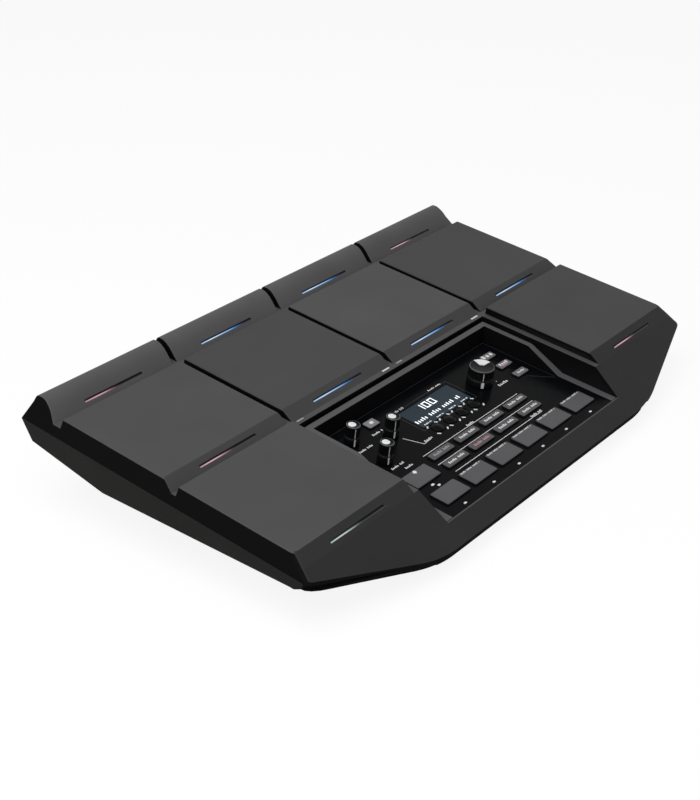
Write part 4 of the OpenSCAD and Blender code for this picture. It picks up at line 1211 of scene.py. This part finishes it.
# %% Finishes on the solids
softened("rubber_feet", 0.5, [foot_rubber])
softened("case_screws", 0.15, [zinc_steel])
softened("jack_sockets", 0.25, [socket_black])
softened("dc_inlet", 0.25, [socket_black])
softened("usb_port", 0.2, [port_steel])
softened("power_button", 0.3, [knob_matt], body="power_button")
plain = {"control_panel": panel_gloss, "pad_plates": sheet_steel, "pad_foams": bed_foam,
         "sensor_discs": disc_brass, "display_module": module_glass, "panel_board": board_green,
         "push_switches": socket_black, "pot_bodies": sheet_steel, "encoder_body": sheet_steel,
         "main_board": board_green, "power_switch": socket_black}
for name, finish in plain.items():
    nodes[name].data.materials.clear()
    nodes[name].data.materials.append(finish)
print(len(plain), "solids kept")

# %% [markdown]
# ## Floor
# The object stands on a white studio floor. A lamp bright enough to bleach a floor would bleach the object
# too, so the floor gives off white to the camera only, and a share of plain paper keeps the shadow.

# %% White floor
FLOOR_HALF = 4.0
FLOOR_Z = -0.0002
FLOOR_GLOW = 0.86


def mixed_by(tree, share, first, second, output):
    """Mixes two shaders, with 'share' of the second, and sends the mix to the tree's output."""
    mix = tree.nodes.new("ShaderNodeMixShader")
    for socket, plug in zip(mix.inputs, (share, first, second)):
        tree.links.new(plug, socket)
    tree.links.new(mix.outputs["Shader"], tree.nodes[output].inputs["Surface"])


floor_square = np.array([(-1, -1), (1, -1), (1, 1), (-1, 1)]) * FLOOR_HALF
floor_mesh = bpy.data.meshes.new("floor")
floor_mesh.from_pydata([(x, y, FLOOR_Z) for x, y in floor_square], [], [(0, 1, 2, 3)])
placed("floor", floor_mesh)

floor_white = bpy.data.materials.new("floor_white")
floor_white.use_nodes = True
tree = floor_white.node_tree
paper = tree.nodes["Principled BSDF"]
paper.inputs["Base Color"].default_value = (0.9, 0.9, 0.9, 1)
paper.inputs["Roughness"].default_value = 0.9
paper.inputs["Specular IOR Level"].default_value = 0.0
shine = tree.nodes.new("ShaderNodeEmission")
shine.inputs["Strength"].default_value = 1.04
ray = tree.nodes.new("ShaderNodeLightPath")
share = tree.nodes.new("ShaderNodeMath")
share.operation = "MULTIPLY"
share.inputs[1].default_value = FLOOR_GLOW
tree.links.new(ray.outputs["Is Camera Ray"], share.inputs[0])
mixed_by(tree, share.outputs["Value"], paper.outputs["BSDF"], shine.outputs["Emission"], "Material Output")
floor_mesh.materials.append(floor_white)
print("the floor is", 2 * FLOOR_HALF, "m wide")

# %% [markdown]
# ## Surround and lamp
# A white surround makes the plain studio. As a light it would wash the object out, so it is white only to
# the camera and in reflections, and dim otherwise. One large soft lamp above gives the tops their tone.

# %% Surround and lamp
AMBIENT = 0.26
world = bpy.data.worlds.new("studio")
bpy.context.scene.world = world
world.use_nodes = True
tree = world.node_tree
dim_sky = tree.nodes["Background"]
dim_sky.inputs["Color"].default_value = (1, 1, 1, 1)
dim_sky.inputs["Strength"].default_value = AMBIENT
white_sky = tree.nodes.new("ShaderNodeBackground")
white_sky.inputs["Color"].default_value = (1, 1, 1, 1)
white_sky.inputs["Strength"].default_value = 1.0
ray = tree.nodes.new("ShaderNodeLightPath")
seen = ray.outputs["Is Camera Ray"]
for also in ("Is Glossy Ray", "Is Transmission Ray"):
    either = tree.nodes.new("ShaderNodeMath")
    either.operation = "MAXIMUM"
    tree.links.new(seen, either.inputs[0])
    tree.links.new(ray.outputs[also], either.inputs[1])
    seen = either.outputs["Value"]
mixed_by(tree, seen, dim_sky.outputs["Background"], white_sky.outputs["Background"], "World Output")

LAMP_AT = Vector((-0.6, -0.1, 1.15))


def aimed(thing, place, direction):
    """Puts a lamp or a camera in its place, looking in a direction."""
    thing.location = place
    thing.rotation_mode = "QUATERNION"
    thing.rotation_quaternion = direction.to_track_quat("-Z", "Y")


lamp = bpy.data.lights.new("soft_box", "AREA")
lamp.shape = "DISK"
lamp.size = 1.3
lamp.energy = 13.0
aimed(placed("soft_box", lamp), LAMP_AT, -LAMP_AT)
print("lamp at", [round(c, 2) for c in LAMP_AT])

# %% [markdown]
# ## Camera
# The camera stands at the player's left, a little above the pads, with a long lens. It could be placed by
# eye, but a camera fitted to the corners of the pads gives its place, its direction and its lens at once.

# %% Camera
PICTURE_W, PICTURE_H = 700, 800
FOCAL_PIXELS = 1549.9
AXIS_PIXEL = (346.76, 395.89)
EYE_FROM_PADS = np.array([-680.8, -585.6, 407.9])
TURN, TIP = math.radians(51.738), math.radians(27.743)

camera_data = bpy.data.cameras.new("camera")
camera_data.sensor_width = 36.0
camera_data.lens = FOCAL_PIXELS / PICTURE_H * camera_data.sensor_width
camera_data.shift_x = (PICTURE_W / 2 - AXIS_PIXEL[0]) / PICTURE_H
camera_data.shift_y = (AXIS_PIXEL[1] - PICTURE_H / 2) / PICTURE_H
camera = placed("camera", camera_data)
look = Vector((math.sin(TURN) * math.cos(TIP), math.cos(TURN) * math.cos(TIP), -math.sin(TIP)))
aimed(camera, deck_origin + MM * EYE_FROM_PADS, look)
bpy.context.scene.camera = camera
bpy.context.scene.view_settings.view_transform = "Standard"
print("camera at", np.round(np.array(camera.location), 3))
